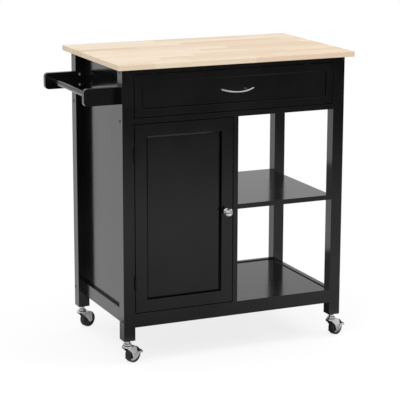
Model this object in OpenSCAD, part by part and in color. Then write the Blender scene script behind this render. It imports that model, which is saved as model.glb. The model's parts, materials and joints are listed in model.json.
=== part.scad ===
// Kitchen island cart: a butcher-block worktop on a black lacquered frame,
// with a full-width drawer, a cupboard with a framed door, an open shelved
// bay, a towel rail and four swivel casters, the front two with brakes.
// Millimetres, +Z up. The origin is on the floor under the middle of the
// cart's bounding box. X runs left to right and the front faces -Y.

/* [Worktop] */
// Length of the worktop, left to right
worktop_l = 761; // [720:1:860]
// Depth of the worktop, front to back
worktop_d = 478; // [450:1:560]
// Thickness of the worktop
worktop_t = 16; // [14:1:38]
// Height of the worktop's top face above the floor
worktop_top = 900; // [860:1:960]
// Overhang of the worktop past the legs at each end
overhang_end = 20; // [5:1:40]
// Overhang of the worktop past the legs at the front and at the back, where the drawer leaves it
overhang_front = 26; // [26:1:50]

/* [Frame] */
// Side of the square legs
leg_w = 36; // [32:1:50]
// Thickness of the rails, shelves and divider
board_t = 15; // [12:1:20]
// Thickness of the flat boards above and below the drawer
deck_t = 16; // [14:1:22]
// Depth of the flat boards above the drawer, front to back
top_rail_d = 60; // [45:1:90]
// Clear height of the drawer's opening
drawer_bay_h = 128; // [122:1:150]
// Height of the bottom rails
bottom_rail_h = 42; // [36:1:60]
// Gap from the legs' lower ends up to the bottom rails
bottom_rail_lift = 40; // [10:1:60]
// Step from the legs' outer faces in to the bottom side rails
side_rail_inset = 18; // [14:1:19]
// Drop from the bottom rails' top edges to the bottom shelf
shelf_drop = 3; // [1:0.5:8]
// Thickness of the side panels
panel_t = 9; // [6:0.5:12]
// Thickness of the back panel
back_t = 5; // [3:0.5:9]
// Clear width of the cupboard
cupboard_w = 317; // [280:1:360]
// Height of the middle shelf's top face above the floor
mid_shelf_top = 458; // [380:1:540]

/* [Cupboard shelf] */
// Height of the cupboard shelf's top face above the floor
inner_shelf_top = 440; // [340:1:560]
// Distance of the cupboard shelf's front edge behind the door
inner_shelf_setback = 30; // [20:1:80]
// Gap round the cupboard shelf
inner_shelf_gap = 1; // [0.5:0.5:3]
// Diameter of the shelf pins
pin_d = 5; // [4:0.5:7]
// Depth of the shelf pins in the panel and the divider
pin_bite = 6; // [4:0.5:8]
// Reach of the shelf pins under the shelf
pin_out = 8; // [5:0.5:12]
// Distance from the shelf's front and back edges to its pins
pin_inset = 45; // [20:1:80]

/* [Door] */
// Gap round the door and round the drawer front
door_gap = 2.5; // [1:0.1:3.5]
// Thickness of the door's stiles and rails
door_t = 18; // [16:0.5:22]
// Width of the door's stiles and rails
stile_w = 41; // [30:1:60]
// Thickness of the door's panel
door_panel_t = 6; // [4:0.5:7]
// Recess of the door's panel behind the stiles
panel_recess = 8; // [6:0.5:9]
// Width of the bevel round the door's panel
door_bevel = 5; // [2:0.5:5.5]
// Depth of the panel's edges in their grooves
tongue_d = 8; // [5:0.5:10]
// Diameter of the door knob
knob_d = 25.5; // [18:0.5:32]
// Projection of the door knob
knob_proj = 25; // [18:0.5:26]
// Diameter of the knob's neck
knob_neck_d = 9; // [7:0.5:14]
// Diameter of the knob's rose on the door
knob_rose_d = 18.4; // [14:0.2:22]

/* [Hinges and catch] */
// Length of each hinge
hinge_l = 40; // [30:1:60]
// Distance from the door's ends to the middles of the hinges
hinge_inset = 90; // [60:1:140]
// Thickness of the hinge leaves
leaf_t = 1.4; // [1:0.1:2]
// Width of the hinge leaves
leaf_w = 15; // [12:0.5:16]
// Diameter of the hinge knuckles
knuckle_d = 6.4; // [5.6:0.2:8]
// Diameter of the hinge pins
hinge_pin_d = 3; // [2:0.1:3.6]
// Gap from the hinge knuckles to the door and the leg
knuckle_gap = 0.35; // [0.3:0.05:1]
// Width of the magnetic catch
catch_w = 42; // [30:1:50]
// Height of the magnetic catch
catch_h = 13; // [10:0.5:16]
// Depth of the magnetic catch
catch_d = 16; // [12:1:24]
// Thickness of the door's catch plate
plate_t = 1.6; // [1.2:0.1:2.5]
// Diameter of the door's catch plate
plate_d = 10; // [8:0.5:12]

/* [Drawer] */
// Thickness of the drawer front
drawer_front_t = 18; // [16:0.5:22]
// Width of the border round the drawer front's recess
drawer_border = 22; // [14:1:34]
// Depth of the drawer front's recess
drawer_recess = 2.5; // [1:0.5:4]
// Width of the bevel round the drawer front's recess
drawer_bevel = 3; // [1:0.5:6]
// Thickness of the drawer's sides and back
drawer_side_t = 12; // [10:0.5:15]
// Height of the drawer's sides
drawer_box_h = 92; // [70:1:96]
// Length of the drawer's sides
drawer_box_d = 370; // [355:1:376]
// Thickness of the drawer's bottom
drawer_bottom_t = 5; // [3:0.5:6]
// Least gap behind the drawer, to which the frame's depth grows
drawer_back_gap = 10; // [5:1:30]
// Height of the drawer's bottom above its sides' lower edges
drawer_bottom_lift = 8; // [5:0.5:14]
// Depth of the grooves that hold the drawer's bottom
groove_d = 6; // [4:0.5:7]
// Distance between the pull's posts
pull_pitch = 64; // [56:1:96]
// Length of the pull, tip to tip
pull_l = 115; // [100:1:140]
// Projection of the pull
pull_proj = 25; // [20:0.5:26]
// Rise of the pull's bow from its tips to its middle
pull_rise = 18; // [8:0.5:22]
// Tilt of the pull's bow, which lifts its tips above its middle
pull_tilt = 30; // [0:1:45]
// Diameter of the pull's rod
pull_d = 6; // [4:0.5:8]

/* [Runners] */
// Length of the drawer runners
runner_l = 350; // [300:10:370]
// Height of the drawer runners
runner_h = 35; // [27:1:45]
// Width of the space between the frame and the drawer's sides
runner_space = 12.5; // [11:0.1:16]
// Thickness of the runners' sheet
runner_sheet = 1.2; // [0.8:0.1:1.8]
// Distance from the runners' ends to their screws
runner_screw_inset = 30; // [25:1:60]
// Clearance between the two halves of a runner
runner_play = 0.5; // [0.3:0.1:1]

/* [Towel rail] */
// Reach of the towel arms past the legs' outer faces
arm_reach = 103; // [70:1:140]
// Height of the towel arms
arm_h = 50; // [36:1:70]
// Thickness of the towel arms
arm_t = 15; // [12:0.5:20]
// Drop from the worktop's underside to the towel arms
arm_drop = 56; // [30:1:90]
// Radius of the towel arms' outer corners
arm_corner = 12; // [4:1:17]
// Diameter of the towel bar
bar_d = 16; // [12:0.5:22]
// Distance from the towel arms' outer ends to the bar's axis
bar_setback = 28; // [18:1:40]
// Depth of the bar's sockets in the arms
bar_socket = 8; // [4:0.5:10]

/* [Casters] */
// Height of the casters, floor to leg
caster_h = 74; // [72:1:90]
// Diameter of the caster wheels
wheel_d = 50; // [46:1:52]
// Width of the caster wheels
wheel_w = 20; // [14:0.5:22]
// Trail of the wheel's axle behind the swivel axis
caster_trail = 22.5; // [18:0.5:26]
// Heading of the casters, from +X towards +Y
caster_heading = 25; // [0:1:40]
// Diameter of the swivel head
head_d = 32; // [26:0.5:35]
// Thickness of the fork's cheeks
cheek_t = 2.2; // [1.6:0.1:2.8]
// Gap between the wheel and each cheek
cheek_gap = 1.2; // [0.8:0.1:2]
// Diameter of the wheel's axle
axle_d = 6; // [5:0.5:8]
// Height of the axle's riveted ends
rivet_h = 1.2; // [0.6:0.1:2]
// Diameter of the caster's stem
stem_d = 10; // [8:0.5:12]
// Length of the stem inside the leg
stem_l = 36; // [25:1:45]
// Reach of the brake pedal's tip from the swivel axis
pedal_reach = 55; // [53:0.5:64]
// Width of the brake pedal's tip
pedal_w = 16; // [10:0.5:24]

/* [Fasteners] */
// Diameter of the frame bolts
bolt_d = 6; // [5:0.5:7]
// Diameter of the bolts' heads
bolt_head_d = 10; // [9:0.5:12]
// Height of the bolts' heads
bolt_head_h = 4; // [3:0.5:6]
// Depth of the bolts' heads below the legs' outer faces
bolt_sink = 0.6; // [0.2:0.1:2]
// Depth of the bolts' ends inside the rails
bolt_bite = 32; // [26:1:44]
// Diameter of the barrel nuts
nut_d = 10; // [9:0.5:11]
// Wood left over the barrel nuts' closed ends
nut_cover = 3; // [2:0.5:3.5]
// Diameter of the wood screws
screw_d = 4; // [3:0.5:5]
// Diameter of the wood screws' heads
screw_head_d = 9; // [7:0.5:10]
// Height of the wood screws' heads
screw_head_h = 2.4; // [1.5:0.1:3]
// Grip of the wood screws in their last board
screw_grip = 10; // [6:0.5:12]
// Diameter of the small countersunk screws
fine_screw_d = 3; // [2.5:0.1:3.4]
// Distance from the legs' outer faces to the towel arms' screws
arm_screw_inset = 9; // [8:1:24]
// Pitch of the two screws in each towel arm
arm_screw_pitch = 32; // [20:1:34]

/* [Clearances] */
// Radial clearance of pins, screws and bolts in their holes
fit_gap = 0.05; // [0.02:0.01:0.1]
// Clearance of boards in their grooves
groove_gap = 0.1; // [0.05:0.05:0.4]
// Axial clearance between parts that turn on each other
turn_gap = 0.4; // [0.3:0.1:0.8]

/* [Hidden] */
$fn = 48;

// Colours
black_lacquer = [0.11, 0.11, 0.11];
beech = [0.90, 0.80, 0.68];
birch_ply = [0.80, 0.70, 0.55];
zinc = [0.75, 0.76, 0.78];
chrome = [0.85, 0.86, 0.88];
dark_steel = [0.20, 0.20, 0.21];
tyre_black = [0.08, 0.08, 0.08];

// Frame, measured from the cart's middle
leg_out_x = worktop_l / 2 - overhang_end;
drawer_need_y = drawer_front_t + drawer_box_d + drawer_back_gap + board_t;
leg_out_y = max(worktop_d / 2 - overhang_front, drawer_need_y / 2);
leg_in_x = leg_out_x - leg_w;
leg_in_y = leg_out_y - leg_w;
leg_mid_x = leg_out_x - leg_w / 2;
leg_mid_y = leg_out_y - leg_w / 2;
under_top = worktop_top - worktop_t;
top_rail_z = under_top - deck_t;
deck_top = top_rail_z - drawer_bay_h;
deck_z = deck_top - deck_t;
rail_z = caster_h + bottom_rail_lift;
rail_top = rail_z + bottom_rail_h;
rail_mid_y = leg_out_y - board_t / 2;
rail_in_y = leg_out_y - board_t;
side_rail_x = leg_out_x - side_rail_inset;
shelf_top = rail_top - shelf_drop;
shelf_z = shelf_top - board_t;
back_y = leg_out_y - back_t;
divider_x0 = -leg_in_x + cupboard_w;
divider_x1 = divider_x0 + board_t;

// Cupboard shelf
inner_shelf_y0 = door_t + inner_shelf_setback - leg_out_y;
inner_shelf_y1 = back_y - inner_shelf_gap;
pin_ys = [inner_shelf_y0 + pin_inset, inner_shelf_y1 - pin_inset];

// Door and drawer front
door_x0 = -leg_in_x + door_gap;
door_x1 = divider_x0 - door_gap;
door_z0 = rail_top + door_gap;
door_z1 = deck_z - door_gap;
door_back_y = -leg_out_y + door_t;
open_x0 = door_x0 + stile_w;
open_x1 = door_x1 - stile_w;
open_z0 = door_z0 + stile_w;
open_z1 = door_z1 - stile_w;
panel_y = -leg_out_y + panel_recess;
knob_x = door_x1 - stile_w / 2;
knob_z = (door_z0 + door_z1) / 2;
front_x = leg_in_x - door_gap;
front_z0 = deck_top + door_gap;
front_z1 = top_rail_z - door_gap;
drawer_y0 = -leg_out_y + drawer_front_t;
drawer_y1 = drawer_y0 + drawer_box_d;
drawer_out_x = leg_in_x - runner_space;
drawer_in_x = drawer_out_x - drawer_side_t;
drawer_z0 = (deck_top + top_rail_z - drawer_box_h) / 2;
drawer_z1 = drawer_z0 + drawer_box_h;
drawer_bottom_z = drawer_z0 + drawer_bottom_lift;
pull_z = (front_z0 + front_z1) / 2;
pull_bow_r = (pull_l * pull_l / 4 + pull_rise * pull_rise) / (2 * pull_rise);
pull_bow_y = -leg_out_y - pull_proj + pull_d / 2;

// Runners
runner_y0 = drawer_y0 + 5;
runner_z = (drawer_z0 + drawer_z1) / 2;
runner_in_x = leg_in_x - runner_sheet;
runner_screw_ys = [runner_y0 + runner_screw_inset, runner_y0 + runner_l - runner_screw_inset];

// Hinges
hinge_x = -leg_in_x + door_gap / 2;
hinge_y = -leg_out_y - knuckle_gap - knuckle_d / 2;
hinge_zs = [door_z0 + hinge_inset, door_z1 - hinge_inset];
knuckle_l = (hinge_l - 2 * turn_gap) / 3;
knuckle_pitch = knuckle_l + turn_gap;
pin_head_h = 1.5;
hinge_screw_offset = hinge_l / 2 - 8;
leaf_mid_y = -leg_out_y + leaf_w * 0.55;
catch_y = door_back_y + plate_t + turn_gap;

// Towel rail
arm_end_x = leg_out_x + arm_reach;
arm_root_x = leg_in_x + panel_t;
arm_z1 = under_top - arm_drop;
arm_z0 = arm_z1 - arm_h;
arm_mid_z = (arm_z0 + arm_z1) / 2;
bar_x = arm_end_x - bar_setback;
bar_end_y = leg_in_y - arm_t + bar_socket;
arm_screw_x = leg_out_x - arm_screw_inset;

// Fasteners
top_bolt_z = under_top - deck_t / 2;
deck_bolt_z = deck_z + deck_t / 2;
rail_bolt_z = (rail_z + rail_top) / 2;
bolt_head_x = leg_out_x - bolt_sink;
nut_x = leg_in_x - bolt_bite + nut_d / 2 + 3;
worktop_screw_xs = [-250, -90, 90, 250];
worktop_screw_y = leg_out_y - top_rail_d / 2;

// Casters, measured along the trail from the swivel axis
wheel_r = wheel_d / 2;
crown_z = wheel_d + 1.2;
head_top = crown_z + 5.6;
race_top = head_top + turn_gap + 5;
cheek_in = wheel_w / 2 + cheek_gap;
cheek_out = cheek_in + cheek_t;
caster_x = leg_mid_x;
caster_y = leg_mid_y;
brake_gap = 0.9;
lever_t = 1.8;
pedal_z = wheel_r + 6;
web_z = wheel_r + 2;
lever_x = caster_trail + 6.5;
lever_z = wheel_r + 5.5;
pivot_d = 3;
ear_r = 3.2;
lever_in = cheek_out + 0.3;
lever_out = lever_in + lever_t;

// Middle of the cart's bounding box
reach_right = max(
    worktop_l / 2,
    caster_x + pedal_reach * cos(caster_heading) + pedal_w / 2 * sin(caster_heading)
);
middle_x = (reach_right - arm_end_x) / 2;

// ---- Helpers ----

// Moves the cart's parts so that the origin is under the box's middle
module placed() {
    translate([-middle_x, 0, 0]) children();
}

// A board between two opposite corners
module board(lo, hi) {
    translate(lo) cube(hi - lo);
}

// A cylinder along X from x0 to x1
module rod_x(x0, x1, y, z, d) {
    translate([x0, y, z]) rotate([0, 90, 0]) cylinder(h = x1 - x0, d = d);
}

// A cylinder along Y from y0 to y1
module rod_y(y0, y1, x, z, d) {
    translate([x, y0, z]) rotate([-90, 0, 0]) cylinder(h = y1 - y0, d = d);
}

// Copies children to both ends of the cart
module both_ends() {
    children();
    mirror([1, 0, 0]) children();
}

// Copies children to the front and the back of the cart
module both_faces() {
    children();
    mirror([0, 1, 0]) children();
}

// ---- Fasteners ----

// Middles of the bolts at one corner, as [y, z]
function bolt_spots() = [
    [leg_mid_y, top_bolt_z],
    [leg_mid_y, deck_bolt_z],
    [rail_mid_y, rail_bolt_z]
];

// Bolt holes at the back right corner, through the leg and into the rail ends
module bolt_holes() {
    for (spot = bolt_spots()) {
        rod_x(leg_in_x - bolt_bite - 1, leg_out_x + 1, spot[0], spot[1], bolt_d + 2 * fit_gap);
        rod_x(bolt_head_x - bolt_head_h, leg_out_x + 1, spot[0], spot[1], bolt_head_d + 2 * fit_gap);
    }
}

module all_bolt_holes() {
    both_ends() both_faces() bolt_holes();
}

// One socket-head bolt, with its head just inside the leg's outer face
module bolt(y, z) {
    difference() {
        union() {
            rod_x(leg_in_x - bolt_bite, bolt_head_x - bolt_head_h, y, z, bolt_d);
            rod_x(bolt_head_x - bolt_head_h, bolt_head_x, y, z, bolt_head_d);
        }
        translate([bolt_head_x - bolt_head_h * 0.6, y, z]) rotate([0, 90, 0])
            cylinder(h = bolt_head_h, d = bolt_head_d / 2, $fn = 6);
    }
}

module frame_bolts() {
    color(dark_steel) placed() both_ends() both_faces()
        for (spot = bolt_spots()) bolt(spot[0], spot[1]);
}

// Barrel nuts at the back right corner, let into the boards' hidden faces
module corner_nuts(play) {
    for (z = [top_rail_z, deck_z]) translate([nut_x, leg_mid_y, z - play])
        cylinder(h = deck_t - nut_cover + 2 * play, d = nut_d + 2 * play);
    rod_y(
        rail_in_y - play, leg_out_y - nut_cover + play,
        nut_x, rail_bolt_z, nut_d + 2 * play
    );
}

module nut_holes() {
    both_ends() both_faces() corner_nuts(fit_gap);
}

module barrel_nuts() {
    color(zinc) placed() difference() {
        both_ends() both_faces() corner_nuts(0);
        all_bolt_holes();
    }
}

// Pan-head screw along +Z: its head's underside is at z = 0
module pan_screw(l) {
    cylinder(h = l, d = screw_d);
    translate([0, 0, -screw_head_h]) cylinder(h = screw_head_h, d = screw_head_d);
}

// Hole for a pan-head screw's shank
module pan_hole(l) {
    translate([0, 0, -0.01]) cylinder(h = l + fit_gap + 0.01, d = screw_d + 2 * fit_gap);
}

// Countersunk screw along +Z: the flat of its head is at z = 0
module fine_screw(l, play) {
    translate([0, 0, -play]) cylinder(h = l + play, d = fine_screw_d + 2 * play);
    translate([0, 0, -play])
        cylinder(h = fine_screw_d / 2 + play, d1 = 2 * fine_screw_d + 4 * play, d2 = fine_screw_d);
}

// Places a screw at each point where the flat boards hold the worktop
module at_worktop_screws() {
    both_faces() for (x = worktop_screw_xs)
        translate([x, worktop_screw_y, top_rail_z]) children();
}

// Places a screw at each point where the towel arms meet the legs
module at_arm_screws() {
    both_faces() for (side = [-1, 1])
        translate([-arm_screw_x, leg_in_y - arm_t, arm_mid_z + side * arm_screw_pitch / 2])
            rotate([-90, 0, 0]) children();
}

// Places a screw at each point where a runner meets the frame
module at_fixed_runner_screws() {
    both_ends() for (y = runner_screw_ys)
        translate([runner_in_x, y, runner_z]) rotate([0, 90, 0]) children();
}

// Places a screw at each hole of a hinge leaf, along the given X direction
module at_hinge_screws(x, direction) {
    for (z = hinge_zs, side = [-1, 1])
        translate([x, leaf_mid_y, z + side * hinge_screw_offset])
            rotate([0, 90 * direction, 0]) children();
}

module wood_screws() {
    color(zinc) placed() {
        at_worktop_screws() pan_screw(deck_t + screw_grip);
        at_arm_screws() pan_screw(arm_t + 2 * screw_grip);
        at_fixed_runner_screws() fine_screw(panel_t, 0);
        at_hinge_screws(-leg_in_x, -1) fine_screw(leaf_t + 2 * screw_grip, 0);
    }
}

// ---- Worktop and frame ----

module worktop() {
    color(beech) placed() difference() {
        board([-worktop_l / 2, -worktop_d / 2, under_top], [worktop_l / 2, worktop_d / 2, worktop_top]);
        at_worktop_screws() pan_hole(deck_t + screw_grip);
    }
}

// A leg at one corner: side and face are -1 or 1
module leg(side, face) {
    mid = [side * leg_mid_x, face * leg_mid_y];
    difference() {
        translate([mid[0] - leg_w / 2, mid[1] - leg_w / 2, caster_h])
            cube([leg_w, leg_w, under_top - caster_h]);
        all_bolt_holes();
        translate([mid[0], mid[1], caster_h - 1])
            cylinder(h = stem_l + 2, d = stem_d + 2 * fit_gap);
        if (side < 0) at_arm_screws() pan_hole(arm_t + 2 * screw_grip);
        if (side < 0 && face < 0) hinge_frame_mortises();
    }
}

module leg_front_left() {
    color(black_lacquer) placed() leg(-1, -1);
}

module leg_front_right() {
    color(black_lacquer) placed() leg(1, -1);
}

module leg_back_left() {
    color(black_lacquer) placed() leg(-1, 1);
}

module leg_back_right() {
    color(black_lacquer) placed() leg(1, 1);
}

// Flat board under the worktop at the front or the back
module top_rail(face) {
    near = face * (leg_out_y - top_rail_d);
    far = face * leg_out_y;
    difference() {
        board([-leg_in_x, min(near, far), top_rail_z], [leg_in_x, max(near, far), under_top]);
        all_bolt_holes();
        nut_holes();
        at_worktop_screws() pan_hole(deck_t + screw_grip);
    }
}

module top_rail_front() {
    color(black_lacquer) placed() top_rail(-1);
}

module top_rail_back() {
    color(black_lacquer) placed() top_rail(1);
}

module drawer_deck() {
    color(black_lacquer) placed() difference() {
        board([-leg_in_x, -leg_out_y, deck_z], [leg_in_x, leg_out_y, deck_top]);
        all_bolt_holes();
        nut_holes();
    }
}

module apron_back() {
    color(black_lacquer) placed()
        board([-leg_in_x, rail_in_y, deck_top], [leg_in_x, leg_out_y, top_rail_z]);
}

// Side panels fill the space between a front and a back leg
module apron_right() {
    color(black_lacquer) placed() difference() {
        board([leg_in_x, -leg_in_y, deck_z], [leg_in_x + panel_t, leg_in_y, under_top]);
        at_fixed_runner_screws() fine_screw(panel_t, fit_gap);
    }
}

module side_panel_left() {
    color(black_lacquer) placed() difference() {
        board([-leg_in_x - panel_t, -leg_in_y, rail_top], [-leg_in_x, leg_in_y, under_top]);
        at_fixed_runner_screws() fine_screw(panel_t, fit_gap);
        at_shelf_pins(-1) pin_hole();
    }
}

// Bottom rail at the front or the back
module bottom_rail(face) {
    near = face * rail_in_y;
    far = face * leg_out_y;
    difference() {
        board([-leg_in_x, min(near, far), rail_z], [leg_in_x, max(near, far), rail_top]);
        all_bolt_holes();
        nut_holes();
    }
}

module bottom_rail_front() {
    color(black_lacquer) placed() bottom_rail(-1);
}

module bottom_rail_back() {
    color(black_lacquer) placed() bottom_rail(1);
}

// Bottom rail between two legs at one end
module end_rail() {
    board([side_rail_x - board_t, -leg_in_y, rail_z], [side_rail_x, leg_in_y, rail_top]);
}

module bottom_rail_left() {
    color(black_lacquer) placed() mirror([1, 0, 0]) end_rail();
}

module bottom_rail_right() {
    color(black_lacquer) placed() end_rail();
}

module bottom_shelf() {
    color(black_lacquer) placed() difference() {
        board(
            [board_t - side_rail_x, -rail_in_y, shelf_z],
            [side_rail_x - board_t, rail_in_y, shelf_top]
        );
        both_ends() both_faces()
            board([leg_in_x, leg_in_y, shelf_z - 1], [leg_out_x, leg_out_y, shelf_top + 1]);
    }
}

module mid_shelf() {
    color(black_lacquer) placed()
        board([divider_x1, -leg_out_y, mid_shelf_top - board_t], [leg_in_x, back_y, mid_shelf_top]);
}

// Upright between the cupboard and the open bay, notched over the bottom rail
module divider() {
    color(black_lacquer) placed() difference() {
        board([divider_x0, -leg_out_y, shelf_top], [divider_x1, back_y, deck_z]);
        both_faces() board(
            [divider_x0 - 1, rail_in_y, shelf_top - 1],
            [divider_x1 + 1, leg_out_y + 1, rail_top]
        );
        at_shelf_pins(1) pin_hole();
    }
}

module back_panel() {
    color(black_lacquer) placed()
        board([-leg_in_x, back_y, rail_top], [divider_x1, leg_out_y, deck_z]);
}

// ---- Cupboard shelf ----

// Places a shelf pin at each hole on one side of the cupboard
module at_shelf_pins(side) {
    x = side < 0 ? -leg_in_x : divider_x0;
    for (y = pin_ys)
        translate([x, y, inner_shelf_top - board_t - pin_d / 2]) rotate([0, side * 90, 0]) children();
}

module pin_hole() {
    translate([0, 0, -1]) cylinder(h = pin_bite + 1 + fit_gap, d = pin_d + 2 * fit_gap);
}

module shelf_pins() {
    color(zinc) placed() for (side = [-1, 1])
        at_shelf_pins(side) translate([0, 0, -pin_out]) cylinder(h = pin_out + pin_bite, d = pin_d);
}

module cupboard_shelf() {
    color(black_lacquer) placed() board(
        [inner_shelf_gap - leg_in_x, inner_shelf_y0, inner_shelf_top - board_t],
        [divider_x0 - inner_shelf_gap, inner_shelf_y1, inner_shelf_top]
    );
}

// ---- Towel rail ----

// A towel arm on the inner face of a left leg, with its outer corners rounded
module towel_arm(face) {
    near = leg_in_y - arm_t;
    difference() {
        translate([0, face > 0 ? leg_in_y : -near, 0]) rotate([90, 0, 0]) linear_extrude(arm_t) {
            translate([-arm_end_x + arm_corner, arm_z0])
                square([arm_end_x - arm_corner - arm_root_x, arm_h]);
            translate([-arm_end_x, arm_z0 + arm_corner])
                square([arm_corner, arm_h - 2 * arm_corner]);
            for (z = [arm_z0 + arm_corner, arm_z1 - arm_corner])
                translate([-arm_end_x + arm_corner, z]) circle(arm_corner);
        }
        at_arm_screws() pan_hole(arm_t + 2 * screw_grip);
        rod_y(-bar_end_y - fit_gap, bar_end_y + fit_gap, -bar_x, arm_mid_z, bar_d + 2 * fit_gap);
    }
}

module towel_arm_front() {
    color(black_lacquer) placed() towel_arm(-1);
}

module towel_arm_back() {
    color(black_lacquer) placed() towel_arm(1);
}

module towel_bar() {
    color(black_lacquer) placed() rod_y(-bar_end_y, bar_end_y, -bar_x, arm_mid_z, bar_d);
}

// ---- Drawer ----

// Cutter for a recess in a front face, wider at the face by the bevel
module bevelled_recess(x0, x1, z0, z1, depth, bevel) {
    hull() {
        board([x0, -leg_out_y, z0], [x1, -leg_out_y + depth, z1]);
        board([x0 - bevel, -leg_out_y - 0.1, z0 - bevel], [x1 + bevel, -leg_out_y, z1 + bevel]);
    }
}

// Space that the drawer's bottom and its groove clearance take
module drawer_bottom_slab(play) {
    reach = groove_d - groove_gap + play;
    board(
        [-drawer_in_x - reach, drawer_y0 - reach, drawer_bottom_z - play],
        [drawer_in_x + reach, drawer_y1 + play, drawer_bottom_z + drawer_bottom_t + play]
    );
}

module drawer_front() {
    color(black_lacquer) placed() difference() {
        board([-front_x, -leg_out_y, front_z0], [front_x, drawer_y0, front_z1]);
        bevelled_recess(
            drawer_border + drawer_bevel - front_x, front_x - drawer_border - drawer_bevel,
            front_z0 + drawer_border + drawer_bevel, front_z1 - drawer_border - drawer_bevel,
            drawer_recess, drawer_bevel
        );
        drawer_bottom_slab(groove_gap);
        at_pull_posts() rod_y(-leg_out_y - 1, drawer_y0 + 1, 0, 0, screw_d + 2 * fit_gap);
    }
}

module drawer_side() {
    difference() {
        board([drawer_in_x, drawer_y0, drawer_z0], [drawer_out_x, drawer_y1, drawer_z1]);
        drawer_bottom_slab(groove_gap);
        at_sliding_runner_screws() fine_screw(drawer_side_t - 2, fit_gap);
    }
}

module drawer_side_left() {
    color(birch_ply) placed() mirror([1, 0, 0]) drawer_side();
}

module drawer_side_right() {
    color(birch_ply) placed() drawer_side();
}

module drawer_back() {
    color(birch_ply) placed() board(
        [-drawer_in_x, drawer_y1 - drawer_side_t, drawer_bottom_z + drawer_bottom_t + groove_gap],
        [drawer_in_x, drawer_y1, drawer_z1]
    );
}

module drawer_bottom() {
    color(birch_ply) placed() drawer_bottom_slab(0);
}

// Places children at the pull's two posts
module at_pull_posts() {
    for (x = [-pull_pitch / 2, pull_pitch / 2]) translate([x, 0, pull_z]) children();
}

// Bowed pull with two posts, and the screws that hold it
module drawer_pull() {
    half_angle = asin((pull_l - pull_d) / 2 / pull_bow_r);
    post_sag = pull_bow_r - sqrt(pull_bow_r * pull_bow_r - pull_pitch * pull_pitch / 4);
    post_y = pull_bow_y + post_sag * cos(pull_tilt);
    bow_z = pull_z - post_sag * sin(pull_tilt);
    seat_y = drawer_recess - leg_out_y;
    color(chrome) placed() {
        translate([0, pull_bow_y, bow_z]) rotate([pull_tilt, 0, 0])
            translate([0, pull_bow_r, 0]) rotate([0, 0, 270 - half_angle])
                rotate_extrude(angle = 2 * half_angle, $fn = 180)
                    translate([pull_bow_r, 0]) circle(d = pull_d, $fn = 24);
        at_pull_posts() {
            rod_y(post_y, seat_y, 0, 0, pull_d + 1);
            rod_y(seat_y, drawer_y0, 0, 0, screw_d);
            rod_y(drawer_y0, drawer_y0 + screw_head_h, 0, 0, screw_head_d);
        }
    }
}

// ---- Runners ----

// C-section along Y, open towards +X: its web is at x = 0
module channel(h, depth) {
    difference() {
        cube([depth, runner_l, h]);
        translate([runner_sheet, -1, runner_sheet])
            cube([depth, runner_l + 2, h - 2 * runner_sheet]);
    }
}

module at_sliding_runner_screws() {
    for (y = runner_screw_ys)
        translate([drawer_out_x + runner_sheet, y, runner_z]) rotate([0, -90, 0]) children();
}

module fixed_runners() {
    color(zinc) placed() difference() {
        both_ends() translate([leg_in_x, runner_y0, runner_z - runner_h / 2])
            mirror([1, 0, 0]) channel(runner_h, runner_space - runner_sheet - runner_play);
        at_fixed_runner_screws() fine_screw(panel_t, fit_gap);
    }
}

module sliding_runners() {
    h = runner_h - 2 * runner_sheet - 2 * runner_play;
    color(zinc) placed() both_ends() {
        difference() {
            translate([drawer_out_x, runner_y0, runner_z - h / 2])
                channel(h, runner_space - runner_sheet - runner_play);
            at_sliding_runner_screws() fine_screw(drawer_side_t - 2, fit_gap);
        }
        at_sliding_runner_screws() fine_screw(drawer_side_t - 2, 0);
    }
}

// ---- Door ----

// Cuts the bevel and the panel's groove into a stile or rail
module door_member(lo, hi) {
    difference() {
        board(lo, hi);
        bevelled_recess(open_x0, open_x1, open_z0, open_z1, door_bevel, door_bevel);
        door_panel_slab(groove_gap);
    }
}

module door_panel_slab(play) {
    reach = tongue_d - groove_gap + play;
    board(
        [open_x0 - reach, panel_y - play, open_z0 - reach],
        [open_x1 + reach, panel_y + door_panel_t + play, open_z1 + reach]
    );
}

module door_stile_hinge() {
    color(black_lacquer) placed() difference() {
        door_member([door_x0, -leg_out_y, door_z0], [open_x0, door_back_y, door_z1]);
        hinge_door_mortises();
    }
}

module door_stile_knob() {
    color(black_lacquer) placed() difference() {
        door_member([open_x1, -leg_out_y, door_z0], [door_x1, door_back_y, door_z1]);
        rod_y(-leg_out_y - 1, door_back_y + 1, knob_x, knob_z, screw_d + 2 * fit_gap);
        at_catch_plate() fine_screw(screw_grip, fit_gap);
    }
}

module door_rail_top() {
    color(black_lacquer) placed()
        door_member([open_x0, -leg_out_y, open_z1], [open_x1, door_back_y, door_z1]);
}

module door_rail_bottom() {
    color(black_lacquer) placed()
        door_member([open_x0, -leg_out_y, door_z0], [open_x1, door_back_y, open_z0]);
}

module door_panel() {
    color(black_lacquer) placed() door_panel_slab(0);
}

// Turned knob with a rose, a neck and a dished face, and the screw that holds it
module door_knob() {
    neck_r = knob_neck_d / 2;
    knob_r = knob_d / 2;
    rose_r = max(knob_rose_d / 2, neck_r + 1.5);
    color(chrome) placed() translate([knob_x, -leg_out_y, knob_z]) rotate([90, 0, 0]) {
        rotate_extrude() polygon([
            [0, 0],
            [rose_r, 0],
            [rose_r, 1.4],
            [neck_r, 3],
            [neck_r, knob_proj * 0.48],
            [knob_r - 1.8, knob_proj * 0.64],
            [knob_r, knob_proj * 0.72],
            [knob_r, knob_proj * 0.84],
            [knob_r - 1.8, knob_proj * 0.95],
            [knob_r - 4.2, knob_proj],
            [0, knob_proj * 0.97]
        ]);
        translate([0, 0, -door_t]) cylinder(h = door_t, d = screw_d);
        translate([0, 0, -door_t - screw_head_h]) cylinder(h = screw_head_h, d = screw_head_d);
    }
}

// ---- Hinges and catch ----

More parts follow.
